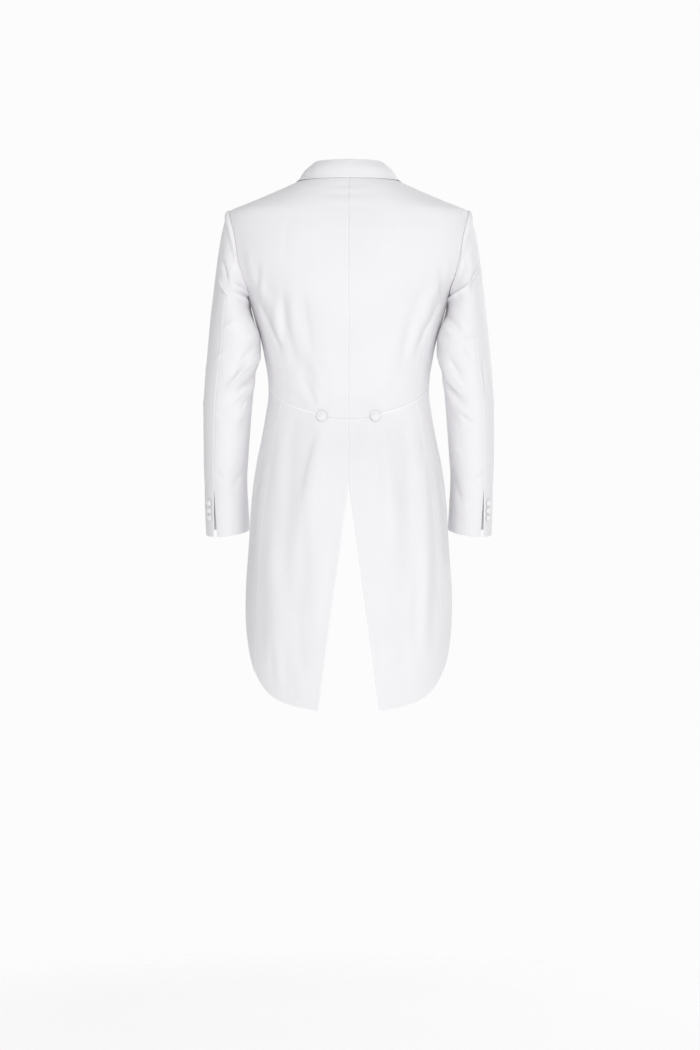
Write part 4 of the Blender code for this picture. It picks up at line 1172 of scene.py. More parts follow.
@dataclass(frozen=True)
class Sleeves:
    """Two-piece sleeves: a Hermite cap on the armhole, then a tube of ellipses down to the cuff."""

    shop: Wardrobe
    cell: float = 0.0025
    ring: float = -0.300
    cuff: float = -0.682
    drop_back: float = 0.18
    drop_outside: float = 0.12
    vent: float = -0.593
    vent_gap: float = 0.0035
    hem_depth: float = 0.057
    hind_fullness: float = 0.0070
    inner_fullness: float = 0.0026
    table: Table = Table.of(
        "height inside outside middle half_depth hind_seam_deg",
        [
            (-290, 177.5, 266.5, 4, 69, 66.5),
            (-300, 174.5, 267.5, 4, 68, 66),
            (-322, 171, 269.5, 5, 66, 65),
            (-345, 172, 271.5, 6, 64, 64),
            (-385, 179.5, 275, 7, 59, 62),
            (-420, 183.5, 277.5, 4, 56, 61),
            (-460, 187, 279, -1, 54.5, 60),
            (-500, 190, 279, -8, 53, 59),
            (-540, 193, 279, -15, 51.5, 58.5),
            (-580, 195.5, 278, -23, 50, 58),
            (-620, 194.5, 277, -31, 49, 58),
            (-700, 190, 274.5, -46, 48, 58),
        ],
    )
    start: Table = Table.of(
        "turn_deg outwards upwards",
        [(0, 45, 8), (60, 43, -24), (120, 24, -50), (180, 12, -60), (240, 22, -50), (300, 36, -25), (360, 45, 8)],
    )
    folds: Folds = Folds(
        Table.of(
            "turn_from_deg height_from turn_to_deg height_to half_width swell",
            [
                (180, -335, 105, -400, 10, 3.4),
                (175, -370, 110, -430, 9, -2.6),
                (170, -395, 115, -465, 9, 2.6),
                (190, -355, 226, -378, 10, 3.0),
                (195, -385, 227, -408, 9, -2.4),
                (150, -235, 60, -215, 9, 2.6),
                (150, -262, 70, -262, 9, -2.4),
                (20, -225, -20, -275, 10, -2.6),
            ],
        ),
        radius=0.055,
    )

    def angle(self, turn_deg: Array, height: Array) -> Array:
        """Angle round the sleeve of the line from this turn of the armhole; 0 is outwards, 90 back."""
        hole = self.shop.hole
        hind = self.table.read("height", "hind_seam_deg", height)
        fore = hole.fore - 360
        over = fore + (turn_deg - fore) * (hind - fore) / (hole.hind - fore)
        under = hind + (turn_deg - hole.hind) * (hole.fore - hind) / (hole.fore - hole.hind)
        return np.radians(np.where(turn_deg <= hole.hind, over, under))

    def tube(self, turn_deg: Array, height: Array) -> Array:
        """Ellipse at each height, its place lowered behind and outside towards the cuff."""
        inside, outside = self.table.read("height", "inside", height), self.table.read("height", "outside", height)
        middle, deep = self.table.read("height", "middle", height), self.table.read("height", "half_depth", height)
        angle = self.angle(turn_deg, height)
        swell = self.folds.lift(angle, height)
        x = (inside + outside) / 2 + ((outside - inside) / 2 + swell) * np.cos(angle)
        y = middle + (deep + swell) * np.sin(angle)
        tilt = np.clip((self.ring - height) / (self.ring - self.cuff), 0, 1) ** 2
        drop = self.drop_back * (y - middle) + self.drop_outside * (x - (inside + outside) / 2)
        return np.stack([x, y, height - tilt * drop], axis=-1)

    def points(self, turn_deg: Array, share: Array) -> Array:
        """Share 0 at the armhole, 1 at the ring under the cap, 2 at the cuff."""
        turn_deg, share = np.broadcast_arrays(np.asarray(turn_deg, float), np.asarray(share, float))
        around = np.mod(turn_deg, 360)
        body = self.shop.body
        start = body.points(*np.moveaxis(self.shop.hole.at(turn_deg), -1, 0))
        ring = self.tube(turn_deg, np.full(turn_deg.shape, self.ring))
        below = self.tube(turn_deg, np.full(turn_deg.shape, self.ring - 0.01))
        out, up = self.start.read("turn_deg", "outwards", around), self.start.read("turn_deg", "upwards", around)
        leave = np.stack([out, np.zeros_like(out), up], axis=-1)
        arrive = (below - ring) / 0.01 * np.abs(start[..., 2:] - ring[..., 2:])
        t = np.clip(share, 0, 1)[..., None]
        cap = (
            start * (1 + 2 * t) * (1 - t) ** 2
            + leave * t * (1 - t) ** 2
            + ring * t * t * (3 - 2 * t)
            + arrive * t * t * (t - 1)
        )
        height = self.ring + np.clip(share - 1, 0, 1.2) * (self.cuff - self.ring)
        return np.where(share[..., None] <= 1, cap, self.tube(turn_deg, height))

    def frame(self, turn_deg: Array, share: Array) -> tuple[Array, Array]:
        """Points and outward normals."""
        step = 1e-3
        around = self.points(turn_deg + step, share) - self.points(turn_deg - step, share)
        ahead, behind = np.clip(share + step, 0, 2.1), np.clip(share - step, 0, 2.1)
        normal = unit(np.cross(self.points(turn_deg, ahead) - self.points(turn_deg, behind), around))
        return self.points(turn_deg, share), normal

    def share_of(self, height: float) -> float:
        """Share at which the tube has this height."""
        return 1 + (height - self.ring) / (self.cuff - self.ring)

    def half(self, name: str, start: float, end: float, hind_left: bool, side: Side) -> None:
        """One half of a sleeve, parted from the other below the top of the cuff vent."""
        hole = self.shop.hole
        width = 0.24 if name == "sleeve_top" else 0.19
        turns = start + (end - start) * spread(width, self.cell)
        shares = 2 * (1 - spread(0.60, self.cell, (0.5,)))
        grid_turns, grid_shares = np.meshgrid(turns, shares)
        points, normals = self.frame(grid_turns, grid_shares)
        open_share = np.clip((shares - self.share_of(self.vent)) / (2 - self.share_of(self.vent)), 0, 1)
        hind = 0 if hind_left else -1
        beside = 1 if hind_left else -2
        inward = unit(points[:, beside] - points[:, hind])
        steps = np.linalg.norm(np.diff(points, axis=1), axis=-1)
        along = np.concatenate([np.zeros((len(points), 1)), np.cumsum(steps, axis=1)], axis=1)
        away = along if hind_left else along[:, -1:] - along
        fade = np.exp(-away / 0.014)[..., None]
        points = points + inward[:, None] * fade * (self.vent_gap * open_share)[:, None, None]
        columns = np.linalg.norm(np.diff(points, axis=0), axis=-1)
        from_cuff = np.concatenate([np.zeros((1, points.shape[1])), np.cumsum(columns, axis=0)])
        from_top = from_cuff[-1:] - from_cuff
        upper = ramp(np.cos(np.radians(grid_turns + 8)), -0.75, 0.1)
        rope = 0.0038 * upper * bump(from_top, 0.0080, 0.0068) - 0.0002 * bump(from_top, 0, 0.0016)
        hem = 0.00035 * (1 - ramp(from_cuff, self.hem_depth - 0.003, self.hem_depth + 0.003))
        hem = hem + 0.0005 * bump(from_cuff, self.hem_depth, 0.0026)
        around = np.degrees(self.angle(grid_turns, points[..., 2]))
        near = ramp(grid_shares, 0.3, 0.9) * ramp(points[..., 2], -0.44, -0.34)
        full = self.hind_fullness * near * bump(around, 130, 32)
        inner = bump(points[..., 2], -0.306, 0.014) + 0.9 * bump(points[..., 2], -0.264, 0.017)
        full = full + self.inner_fullness * bump(around, 182, 26) * inner
        here, facing = self.shop.mirrored(points, normals, side)
        edges = {"top": EdgeFinish.SEWN, "bottom": EdgeFinish.TURNED}
        edges["left"] = EdgeFinish.LAPPED_UNDER if hind_left else EdgeFinish.SEWN
        edges["right"] = EdgeFinish.SEWN if hind_left else EdgeFinish.PRESSED_OVER
        self.shop.add(
            ClothSheet(
                name=f"cloth_{name}_{side.word}",
                nodes=(f"{name}_{side.word}",),
                points=here,
                normals=facing,
                finishes=edges,
                rests_on=(f"cloth_back_{side.word}", f"cloth_front_{side.word}"),
                creases=(SLEEVE_BACK, SLEEVE_FRONT, SLEEVE_OUTER),
                extra=rope + hem + full,
            )
        )

    def build(self) -> None:
        """Makes the four sleeve halves."""
        hole = self.shop.hole
        for side in Side:
            self.half("sleeve_top", hole.fore - 360, hole.hind, False, side)
            self.half("sleeve_under", hole.hind, hole.fore, True, side)


@dataclass(frozen=True)
class RollWrap:
    """The turned edge that carries a sheet round the roll line, as an arc in (into the panel, outwards)."""

    body: BodySurface
    height: float = 0.0054
    edge_height: float = 0.0027
    centre: tuple[float, float] = (-0.0010, 0.0021)
    radius: float = 0.0034

    def lift(self, share: Array) -> Array:
        """Height of the turned leaf over the front, from the roll line to its outer edge."""
        return self.height + (self.edge_height - self.height) * np.clip(share, 0, 1) ** 0.8

    def frame(self, line: Array, beside: Array) -> tuple[Array, Array, Array]:
        """Edge points, their normals, and the direction along the cloth into the panel."""
        point, normal = self.body.frame(line[:, 0], line[:, 1])
        other = self.body.frame(beside[:, 0], beside[:, 1])[0]
        inward = np.cross(normal, np.gradient(point, axis=0))
        inward *= np.sign(np.sum(inward * (other - point)))
        return point, normal, unit(inward)

    def columns(self, frame: tuple[Array, Array, Array], angles_deg: Array) -> Array:
        """Columns of points round the arc, one for each angle."""
        point, normal, inward = frame
        angle = np.radians(angles_deg)
        into = self.centre[0] + self.radius * np.cos(angle)
        over = self.centre[1] + self.radius * np.sin(angle)
        return point[:, None] + inward[:, None] * into[None, :, None] + normal[:, None] * over[None, :, None]


def grid_normals(points: Array, outward: Array) -> Array:
    """Unit normals of a grid from its slopes, turned to agree with a given direction on the whole."""
    normals = unit(np.cross(np.gradient(points, axis=1), np.gradient(points, axis=0)))
    return normals * (1.0 if np.sum(normals * outward) >= 0 else -1.0)


@dataclass(frozen=True)
class Lapels:
    """Peaked lapels, turned back over the fronts from the roll line."""

    shop: Wardrobe
    wrap: RollWrap
    cell: float = 0.0027
    weights: tuple[int, int] = (5, 3)

    def build(self) -> None:
        """Makes the left and the right lapel."""
        cut, body = self.shop.cut, self.shop.body
        whole = sum(self.weights)
        notch = self.weights[0] / whole
        rows, columns = spread(0.35, self.cell), spread(0.12, self.cell, (notch,))

        def on_front(start: tuple[float, float], end: tuple[float, float]) -> Edge:
            def run(share: Array) -> Array:
                place = np.array(start) + (np.array(end) - np.array(start)) * np.asarray(share)[:, None]
                return np.stack([body.turn_at(place[:, 0], place[:, 1], front=True), place[:, 1]], axis=-1)

            return run

        def outer(share: Array) -> Array:
            heights = cut.lapel_break + (cut.peak_tip[1] - cut.lapel_break) * np.asarray(share, float)
            return np.stack([body.turn_at(cut.lapel.read("height", "out", heights), heights, front=True), heights], axis=-1)

        left = cut.front_run(cut.lapel_break, cut.gorge_start[1])
        right_foot = outer(np.array([0.0]))[0]
        top = joined((on_front(cut.gorge_start, cut.gorge_end), 5), (on_front(cut.gorge_end, cut.peak_tip), 3))
        patch = Patch.of((straight(left(np.array([0.0]))[0], right_foot), top, left, outer), columns, rows)
        grid = patch.blended()
        share = columns[None] * (0.3 + 0.7 * rows[:, None]) ** 0.5
        base, normal = body.frame(grid[..., 0], grid[..., 1])
        leaf = base + normal * self.wrap.lift(share)[..., None]
        line = patch.left
        frame = self.wrap.frame(line, grid[:, 4])
        arc = self.wrap.columns(frame, np.linspace(243, 88, 12))
        points = np.concatenate([arc, leaf], axis=1)
        normals = grid_normals(points, np.concatenate([0 * arc, normal], axis=1))
        for side in Side:
            here, facing = self.shop.mirrored(points, normals, side)
            self.shop.add(
                ClothSheet(
                    name=f"cloth_lapel_{side.word}",
                    nodes=(f"lapel_{side.word}",),
                    points=here,
                    normals=facing,
                    finishes={"top": EdgeFinish.TURNED, "right": EdgeFinish.TURNED, "bottom": EdgeFinish.TURNED},
                    slot="facing_cloth",
                    held="folded",
                    rests_on=(f"cloth_front_{side.word}",),
                    waves=Waves(height=0.0002),
                )
            )


@dataclass(frozen=True)
class Collar:
    """Stand and fall in one folded sheet, from gorge to gorge."""

    shop: Wardrobe
    wrap: RollWrap
    cell: float = 0.0026
    clearance: float = 0.0021
    edge_drop: float = 0.0045
    fold_ring: tuple[float, float] = (0.0665, 0.046)
    edge_ring: tuple[float, float] = (0.0985, 0.0650)
    fold_radius: float = 0.0030
    heights: Table = Table.of(
        "share fold edge", [(0, 28, -6.5), (150, 27.5, -6.5), (300, 26.5, -7), (420, 24, -7.8), (500, 20, -8.5)]
    )
    fold_front: Table = Table.of("share x y height", [(500, 66.5, 0, 20), (650, 73, -28, 2), (1000, 82, -66, -46)])
    edge_run: Table = Table.of(
        "share x y height", [(500, 98.5, 0, -8.5), (650, 113, -28, -24), (1000, 122, -60, -94)]
    )
    edge_front: Table = Table.of(
        "share out height",
        [(0, 100, -11.5), (500, 100, -11.5), (650, 113, -28), (800, 126, -52), (920, 133, -78), (1000, 122, -94)],
    )

    def line(self, share: Array, ring: tuple[float, float], column: str, front: Table) -> Array:
        """A line along the collar: a ring round the back of the neck, then the front table's line."""
        turns = np.clip(share * 2, 0, 1) * math.pi / 2
        height = self.heights.read("share", column, share)
        out = ring[0] * np.sin(turns) ** (2 / self.shop.body.power)
        around = np.stack([out, ring[1] * np.cos(turns), height], axis=-1)
        ahead = np.stack([front.read("share", c, share) for c in ("x", "y", "height")], axis=-1)
        return np.where((share <= 0.5)[:, None], around, ahead)

    def rested(self, points: Array, drawn_down: Array) -> Array:
        """Points raised to the clearance over the shoulders, and near the outer edge let down to it."""
        body = self.shop.body
        x, y, z = points[..., 0], points[..., 1], points[..., 2]
        low, high = np.full(x.shape, -0.12), np.full(x.shape, 0.012)
        for _ in range(28):
            middle = (low + high) / 2
            deep = body.depth(y, middle)
            outside = (np.abs(x) / body.half_width(middle)) ** body.power + (y / deep) ** 2 > 1
            low, high = np.where(outside, low, middle), np.where(outside, middle, high)
        turn = np.arccos(np.clip(y / deep, -1, 1))
        normal = body.frame(turn, low)[1]
        raised = points.copy()
        over = low + self.clearance / np.maximum(normal[..., 2], 0.2)
        down = drawn_down * np.clip(z - over, 0, self.edge_drop)
        raised[..., 2] = np.where(low < 0.0115, np.maximum(z - down, over), z)
        return raised

    def half(self) -> Array:
        """Grid of the outer points from the centre back to the gorge, one row for each place."""
        cut, body = self.shop.cut, self.shop.body
        share = 1 - spread(0.27, self.cell)[::-1]
        share = np.unique(np.concatenate([np.linspace(0, 0.93, 96), share[share > 0.93]]))
        turns = np.clip(share * 2, 0, 1) * math.pi / 2
        front = np.clip(share * 2 - 1, 0, 1)
        on_front = cut.front_edge(cut.gorge_start[1] * front)
        at_back = np.stack([turns, cut.neck_back * np.cos(turns) ** 2], axis=-1)
        seam = np.where((share > 0.5)[:, None], on_front, at_back)
        gorge_out = np.array([cut.gorge_start[0], cut.gorge_end[0]])
        gorge_height = np.array([cut.gorge_start[1], cut.gorge_end[1]])
        gorge = np.stack([body.turn_at(gorge_out, gorge_height, front=True), gorge_height], axis=-1)
        seam[-1] = gorge[0]
        edge_heights = self.edge_front.read("share", "height", share)
        edge_turns = body.turn_at(self.edge_front.read("share", "out", share), edge_heights, front=True)
        edge = np.stack([edge_turns, edge_heights], axis=-1)
        edge[-1] = gorge[1]
        across = np.concatenate([spread(0.044, self.cell, ends=False)[:-1], 1 - np.array([31, 18, 9, 3.5, 0]) * 1e-4 / 0.044])
        across = np.unique(np.round(across, 6))[:, None]
        grid = seam[:, None] + (edge - seam)[:, None] * across
        line_out = gorge_out[0] + (gorge_out[1] - gorge_out[0]) * across[:, 0]
        line_height = gorge_height[0] + (gorge_height[1] - gorge_height[0]) * across[:, 0]
        end = np.stack([body.turn_at(line_out, line_height, front=True), line_height], axis=-1)
        grid = grid + (end - grid[-1])[None] * (front**4)[:, None, None]
        base, normal = body.frame(grid[..., 0], grid[..., 1])
        leaf = base + normal * self.wrap.lift(across[:, 0] * 5 / 8)[None, :, None]
        frame = self.wrap.frame(seam, grid[:, 2])
        stand_angles, arc_angles = np.linspace(243, 192, 7), np.linspace(192, 73, 11)[1:-1]
        on_surface = np.concatenate([self.wrap.columns(frame, np.concatenate([stand_angles, arc_angles])), leaf], axis=1)

        foot, foot_normal = body.frame(seam[:, 0], seam[:, 1])
        fold = self.line(share, self.fold_ring, "fold", self.fold_front)
        outer = self.line(share, self.edge_ring, "edge", self.edge_run)
        up = unit(fold - foot)
        foot = foot + up * 0.0006
        away = unit(outer - fold)
        away = unit(away - up * np.sum(away * up, axis=-1, keepdims=True))
        r = self.fold_radius
        rising = fold - up * r - away * r
        stand = foot[:, None] + (rising - foot)[:, None] * np.linspace(0, 1, 7)[:, None]
        angle = np.linspace(math.pi, 0, 11)[1:-1]
        centre = fold - up * r
        arc = centre[:, None] + r * (away[:, None] * np.cos(angle)[:, None] + up[:, None] * np.sin(angle)[:, None])
        falling = fold - up * r + away * r
        fall = falling[:, None] + (outer - falling)[:, None] * across
        fall = fall + (foot_normal * 0.0025)[:, None] * np.sin(math.pi * across)
        standing = np.concatenate([stand, arc, fall], axis=1)
        weight = ramp(share, 0.52, 0.88)[:, None, None]
        points = standing * (1 - weight) + on_surface * weight
        points[:, 16:] = self.rested(points[:, 16:], ramp(across[:, 0], 0.45, 1.0)[None])
        return points

    def build(self) -> None:
        """Makes the collar."""
        half = self.half()
        points = np.concatenate([(half * FLIP)[:0:-1], half])
        normals = unit(np.cross(np.gradient(points, axis=1), np.gradient(points, axis=0)))
        normals *= np.sign(normals[len(half) - 1, -1, 1])
        self.shop.add(
            ClothSheet(
                name="cloth_collar",
                nodes=("collar",),
                points=points,
                normals=normals,
                finishes={"right": EdgeFinish.TURNED, "top": EdgeFinish.SEWN, "bottom": EdgeFinish.SEWN},
                slot="facing_cloth",
                held="folded",
                rests_on=("cloth_back_left", "cloth_back_right"),
                waves=Waves(height=0.0002),
            )
        )


@dataclass(frozen=True)
class CoveredButton:
    """A domed button covered in cloth: a shank, a rolled rim, a shallow ring and a low dome."""

    radius: float
    stand: float = 0.0007
    around: int = 72
    gathers: int = 24

    def profile(self) -> Array:
        """(distance from the middle, height) from the shank up over the rim to the middle."""
        r, rim = self.radius, 0.0011 + 0.06 * self.radius
        low, high = 0.0018, 0.0034 + rim
        rows = [
            (0.36 * r, self.stand),
            (0.36 * r, 0.0012),
            (0.42 * r, 0.0017),
            (0.80 * r, low),
            (0.92 * r, low + 0.0001),
            (0.98 * r, low + 0.35 * rim),
            (1.00 * r, low + 0.9 * rim),
            (0.985 * r, low + 1.4 * rim),
            (0.94 * r, high - 0.0004),
            (0.87 * r, high + 0.0001),
            (0.80 * r, high + 0.0000),
            (0.74 * r, high - 0.0005),
            (0.68 * r, high - 0.0006),
            (0.60 * r, high - 0.0001),
            (0.50 * r, high + 0.0006),
            (0.36 * r, high + 0.0012),
            (0.20 * r, high + 0.0015),
            (0.06 * r, high + 0.0016),
        ]
        return np.array(rows)

    def build(self, shop: Wardrobe, name: str, node: str, foot: Array, normal: Array) -> None:
        """Turns the profile round the normal, with fine gathers where the cloth wraps the rim."""
        profile = self.profile()
        across = unit(np.cross([0.0, 0.0, 1.0], normal))
        up = np.cross(normal, across)
        angle = np.linspace(0, 2 * math.pi, self.around, endpoint=False)
        circle = np.cos(angle)[:, None] * across + np.sin(angle)[:, None] * up
        at_rim = bump(np.arange(len(profile)), 6, 2.4)[:, None]
        gather = 1 + 0.006 * at_rim * np.cos(self.gathers * angle + 0.6 * np.sin(5 * angle))[None]
        radii = profile[:, :1] * gather
        rings = foot + normal * profile[:, 1][:, None, None] + circle[None] * radii[..., None]
        rows = len(profile)
        index = np.arange(rows * self.around).reshape(rows, self.around)
        following = np.roll(index, -1, axis=1)
        quads = np.stack([index[:-1], following[:-1], following[1:], index[1:]], axis=-1).reshape(-1, 4)
        step = np.arange(self.around // 2 - 1)
        span = np.stack([step, step + 1, self.around - 2 - step, self.around - 1 - step], axis=-1)
        caps = [index[0][span][:, ::-1], index[-1][span]]
        faces = np.concatenate([quads, *caps])
        vertices = rings.reshape(-1, 3)
        uv = np.stack([(vertices - foot) @ across, (vertices - foot) @ up], axis=-1)
        piece = mesh_object(name, vertices, faces, uv, shop.materials["covered_button"])
        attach(piece, "root")
        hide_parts(node)


@dataclass(frozen=True)
class Buttons:
    """Two at the back waist, three on each front and three on each cuff."""

    shop: Wardrobe
    sleeves: Sleeves
    large: float = 0.0100
    small: float = 0.0066
    cuff_turn: float = 66.0
    places: tuple[tuple[str, float, float, bool], ...] = (
        ("back_button", 0.0503, -0.4634, False),
        ("front_button_1", 0.1300, -0.3200, True),
        ("front_button_2", 0.1140, -0.3700, True),
        ("front_button_3", 0.1000, -0.4200, True),
    )
    cuff_heights: tuple[float, float, float] = (-0.6200, -0.6337, -0.6474)

    def build(self) -> None:
        """Makes the fourteen buttons."""
        body = self.shop.body
        for name, out, height, front in self.places:
            foot, normal = body.frame(body.turn_at(out, height, front=front), height)
            self.pair(CoveredButton(self.large), name, foot, normal)
        for k, height in enumerate(self.cuff_heights):
            foot, normal = self.sleeves.frame(np.array(self.cuff_turn), np.array(self.sleeves.share_of(height)))
            self.pair(CoveredButton(self.small), f"cuff_button_{k + 1}", foot, normal)

    def pair(self, button: CoveredButton, name: str, foot: Array, normal: Array) -> None:
        """A button on each side."""
        for side in Side:
            place, facing = self.shop.mirrored(foot, normal, side)
            button.build(self.shop, f"covered_{name}_{side.word}", f"{name}_{side.word}", place, facing)


# Finishes


@dataclass(frozen=True)
class Woven:
    """White worsted: a fine twill in the bump, soft unevenness, slight variations of colour, and a painted highlight
    and painted shade along the edges of each piece.
    """

    name: str
    colour: tuple[float, float, float] = (0.806, 0.800, 0.818)
    shade: tuple[float, float, float] = (0.770, 0.762, 0.782)
    roughness: float = 0.52
    sheen: float = 0.08
    twill_pitch: float = 0.0011
    twill_depth: float = 0.00005
    hand_depth: float = 0.00045
    hand_scale: float = 34.0

    def build(self) -> bpy.types.Material:
        """Makes the material: height = sin of the twill + yarn noise + soft waves, colour by noise times the painted
        edge highlight and shade.
        """
        made = bpy.data.materials.new(self.name)
        made.use_nodes = True
        tree = made.node_tree
        shader = tree.nodes["Principled BSDF"]
        shader.inputs["Roughness"].default_value = self.roughness
        shader.inputs["Sheen Weight"].default_value = self.sheen
        shader.inputs["Sheen Roughness"].default_value = 0.45
        shader.inputs["Specular IOR Level"].default_value = 0.36

        uv = tree.nodes.new("ShaderNodeUVMap")
        uv.uv_map = "cloth"
        place = tree.nodes.new("ShaderNodeTexCoord")
        split = tree.nodes.new("ShaderNodeSeparateXYZ")
        tree.links.new(uv.outputs["UV"], split.inputs["Vector"])

        diagonal = self.math(tree, "ADD", split.outputs["X"], self.math(tree, "MULTIPLY", split.outputs["Y"], 1.4))
        twill = self.math(tree, "SINE", self.math(tree, "MULTIPLY", diagonal, 2 * math.pi / self.twill_pitch))
        across = self.math(tree, "SINE", self.math(tree, "MULTIPLY", split.outputs["Y"], 2 * math.pi / (0.8 * self.twill_pitch)))
        weave = self.math(tree, "ADD", twill, self.math(tree, "MULTIPLY", across, 0.45))
        yarn = self.noise(tree, place.outputs["Object"], 850.0, 3.0)
        weave = self.math(tree, "ADD", weave, self.math(tree, "MULTIPLY", yarn, 1.6))
        hand = self.noise(tree, place.outputs["Object"], self.hand_scale, 3.0)

        low = tree.nodes.new("ShaderNodeBump")
        low.inputs["Distance"].default_value = self.hand_depth
        low.inputs["Strength"].default_value = 1.0
        tree.links.new(hand, low.inputs["Height"])
        fine = tree.nodes.new("ShaderNodeBump")
        fine.inputs["Distance"].default_value = self.twill_depth
        fine.inputs["Strength"].default_value = 0.8
        tree.links.new(weave, fine.inputs["Height"])
        tree.links.new(low.outputs["Normal"], fine.inputs["Normal"])
        tree.links.new(fine.outputs["Normal"], shader.inputs["Normal"])

        clouds = self.noise(tree, place.outputs["Object"], 11.0, 4.0)
        mixed = tree.nodes.new("ShaderNodeMix")
        mixed.data_type = "RGBA"
        mixed.inputs["A"].default_value = (*self.shade, 1.0)
        mixed.inputs["B"].default_value = (*self.colour, 1.0)
        factor = self.math(tree, "ADD", self.math(tree, "MULTIPLY", clouds, 1.1), self.math(tree, "MULTIPLY", yarn, 0.35))
        tree.links.new(factor, mixed.inputs["Factor"])
        # The colour is made 0.8 to 1.2 times as bright by the painted edge light: painted highlight beside lapped,
        # pressed and turned edges, painted shade in the seam grooves.
        near = tree.nodes.new("ShaderNodeAttribute")
        near.attribute_name = "edge_tone"
        painted_light_scale = tree.nodes.new("ShaderNodeMapRange")
        painted_light_scale.inputs["From Min"].default_value = -1.0
        painted_light_scale.inputs["From Max"].default_value = 1.0
        painted_light_scale.inputs["To Min"].default_value = 0.80
        painted_light_scale.inputs["To Max"].default_value = 1.20
        tree.links.new(near.outputs["Fac"], painted_light_scale.inputs["Value"])
        toned = tree.nodes.new("ShaderNodeMix")
        toned.data_type = "RGBA"
        toned.blend_type = "MULTIPLY"
        toned.inputs["Factor"].default_value = 1.0
        tree.links.new(mixed.outputs["Result"], toned.inputs["A"])
        tree.links.new(painted_light_scale.outputs["Result"], toned.inputs["B"])
        tree.links.new(toned.outputs["Result"], shader.inputs["Base Color"])
        return made

    @staticmethod
    def math(tree: bpy.types.NodeTree, operation: str, first: object, second: object = None) -> object:
        """Output of a math node on two outputs or numbers."""
        node = tree.nodes.new("ShaderNodeMath")
        node.operation = operation
        for socket, value in zip(node.inputs, (first, second)):
            if isinstance(value, bpy.types.NodeSocket):
                tree.links.new(value, socket)
            elif value is not None:
                socket.default_value = value
        return node.outputs["Value"]

    @staticmethod
    def noise(tree: bpy.types.NodeTree, vector: object, scale: float, detail: float) -> object:
        """Output of a noise texture of this scale."""
        node = tree.nodes.new("ShaderNodeTexNoise")
        node.inputs["Scale"].default_value = scale
        node.inputs["Detail"].default_value = detail
        tree.links.new(vector, node.inputs["Vector"])
        return node.outputs["Fac"]


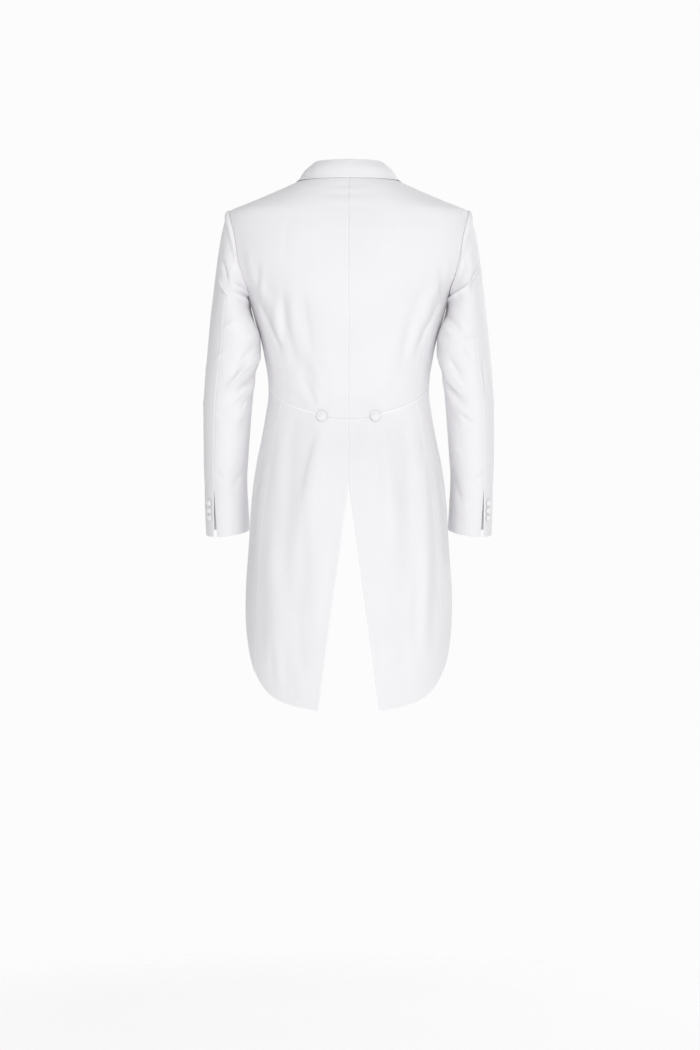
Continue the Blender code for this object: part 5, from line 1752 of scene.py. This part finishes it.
@dataclass(frozen=True)
class Studio:
    """Pale floor, soft light from the side and a bright backdrop, and the camera of the photo."""

    backdrop: float = 0.973
    floor_height: float = -1.615
    camera_place: tuple[float, float, float] = (-0.0023, 6.5, -0.669)
    focal_pixels: float = 3389.0
    picture: tuple[int, int] = (700, 1050)
    ahead: float = 1.52
    behind: float = 1.00
    left: float = 0.45
    right: float = 0.64
    above: float = 0.50
    below: float = 0.85

    def camera(self) -> None:
        """Level camera whose long side spans the picture's height."""
        data = bpy.data.cameras.new("camera")
        data.sensor_width = 36.0
        data.lens = self.focal_pixels / max(self.picture) * data.sensor_width
        made = bpy.data.objects.new("camera", data)
        made.location = self.camera_place
        made.rotation_euler = (math.pi / 2, 0.0, math.pi)
        bpy.context.scene.collection.objects.link(made)
        bpy.context.scene.camera = made

    def world(self) -> None:
        """Light by direction: one level each ahead (+Y), behind, left (+X), right, above and below."""
        world = bpy.data.worlds.new("studio")
        bpy.context.scene.world = world
        world.use_nodes = True
        tree = world.node_tree
        tree.nodes.clear()
        place = tree.nodes.new("ShaderNodeTexCoord")
        split = tree.nodes.new("ShaderNodeSeparateXYZ")
        tree.links.new(place.outputs["Generated"], split.inputs["Vector"])

        def share(socket: bpy.types.NodeSocket, sign: float) -> object:
            toward = Woven.math(tree, "MAXIMUM", Woven.math(tree, "MULTIPLY", socket, sign), 0.0)
            return Woven.math(tree, "POWER", toward, 2.0)

        total = None
        for socket, sign, level in (
            (split.outputs["Y"], 1.0, self.ahead),
            (split.outputs["Y"], -1.0, self.behind),
            (split.outputs["X"], 1.0, self.left),
            (split.outputs["X"], -1.0, self.right),
            (split.outputs["Z"], 1.0, self.above),
            (split.outputs["Z"], -1.0, self.below),
        ):
            part = Woven.math(tree, "MULTIPLY", share(socket, sign), level)
            total = part if total is None else Woven.math(tree, "ADD", total, part)
        lit = tree.nodes.new("ShaderNodeBackground")
        lit.inputs["Color"].default_value = (0.990, 0.986, 0.987, 1.0)
        tree.links.new(total, lit.inputs["Strength"])
        seen = tree.nodes.new("ShaderNodeBackground")
        seen.inputs["Color"].default_value = (self.backdrop, self.backdrop, self.backdrop, 1.0)
        path = tree.nodes.new("ShaderNodeLightPath")
        mixed = tree.nodes.new("ShaderNodeMixShader")
        output = tree.nodes.new("ShaderNodeOutputWorld")
        tree.links.new(path.outputs["Is Camera Ray"], mixed.inputs["Fac"])
        tree.links.new(lit.outputs["Background"], mixed.inputs[1])
        tree.links.new(seen.outputs["Background"], mixed.inputs[2])
        tree.links.new(mixed.outputs["Shader"], output.inputs["Surface"])

    def lamp(self, name: str, place: tuple[float, float, float], size: float, watts: float) -> None:
        """Square area light turned towards the middle of the coat."""
        data = bpy.data.lights.new(name, "AREA")
        data.size = size
        data.energy = watts
        made = bpy.data.objects.new(name, data)
        made.location = place
        toward = Vector((0.0, 0.0, -0.5)) - Vector(place)
        made.rotation_mode = "QUATERNION"
        made.rotation_quaternion = toward.to_track_quat("-Z", "Y")
        bpy.context.scene.collection.objects.link(made)

    def floor(self) -> None:
        """Round floor that fades into the backdrop."""
        material = bpy.data.materials.new("floor")
        material.use_nodes = True
        tree = material.node_tree
        shader = tree.nodes["Principled BSDF"]
        shader.inputs["Base Color"].default_value = (0.92, 0.92, 0.92, 1.0)
        shader.inputs["Emission Color"].default_value = (1.0, 1.0, 1.0, 1.0)
        shader.inputs["Emission Strength"].default_value = 0.2
        shader.inputs["Roughness"].default_value = 0.9
        shader.inputs["Specular IOR Level"].default_value = 0.1
        clear = tree.nodes.new("ShaderNodeBsdfTransparent")
        place = tree.nodes.new("ShaderNodeTexCoord")
        length = tree.nodes.new("ShaderNodeVectorMath")
        length.operation = "LENGTH"
        tree.links.new(place.outputs["Object"], length.inputs[0])
        fade = tree.nodes.new("ShaderNodeMapRange")
        fade.interpolation_type = "SMOOTHSTEP"
        fade.inputs["From Min"].default_value = 0.45
        fade.inputs["From Max"].default_value = 1.15
        tree.links.new(length.outputs["Value"], fade.inputs["Value"])
        mixed = tree.nodes.new("ShaderNodeMixShader")
        tree.links.new(fade.outputs["Result"], mixed.inputs["Fac"])
        tree.links.new(shader.outputs["BSDF"], mixed.inputs[1])
        tree.links.new(clear.outputs["BSDF"], mixed.inputs[2])
        tree.links.new(mixed.outputs["Shader"], tree.nodes["Material Output"].inputs["Surface"])
        mesh = bpy.data.meshes.new("floor")
        angle = np.linspace(0, 2 * math.pi, 64, endpoint=False)
        circle = np.stack([1.2 * np.cos(angle), 1.2 * np.sin(angle), np.zeros(64)], axis=-1)
        mesh.from_pydata([tuple(p) for p in circle], [], [tuple(range(64))])
        mesh.materials.append(material)
        made = bpy.data.objects.new("floor", mesh)
        made.location = (0.0, 0.0, self.floor_height)
        bpy.context.scene.collection.objects.link(made)
        made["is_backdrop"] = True

    def build(self) -> None:
        """Sets up the whole studio."""
        bpy.context.scene.view_settings.view_transform = "Standard"
        bpy.context.scene.view_settings.look = "None"
        self.camera()
        self.world()
        self.floor()
        self.lamp("key", (-2.2, 5.0, 0.6), 1.2, 36.0)
        self.lamp("front_key", (-3.0, -3.4, 1.2), 1.2, 44.0)


def corners(bounds: tuple[Vector, Vector]) -> list[list[float]]:
    """Lowest and highest corner as plain lists."""
    return [[float(v) for v in corner] for corner in bounds]


def main() -> None:
    """Builds the coat's pieces in order, then the studio."""
    logging.basicConfig(level=logging.INFO, format="%(message)s")
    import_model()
    cad = corners(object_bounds())
    body = BodySurface()
    hole = Armhole(body)
    materials = {
        "coat_cloth": Woven("coat_cloth").build(),
        "facing_cloth": Woven("facing_cloth", roughness=0.56, twill_depth=0.00004).build(),
        "covered_button": Woven("covered_button", roughness=0.50, twill_depth=0.00003, hand_depth=0.0001).build(),
    }
    shop = Wardrobe(body, hole, Cut(body, hole), materials)
    wrap = RollWrap(body)
    sleeves = Sleeves(shop)
    for part in (BodyPanels(shop), sleeves, Lapels(shop, wrap), Collar(shop, wrap), Buttons(shop, sleeves)):
        part.build()
        LOG.info("%s done", type(part).__name__)
    Studio().build()
    looks = corners(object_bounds())
    LOG.info("cad %s visual %s", cad, looks)


if __name__ == "__main__":
    main()
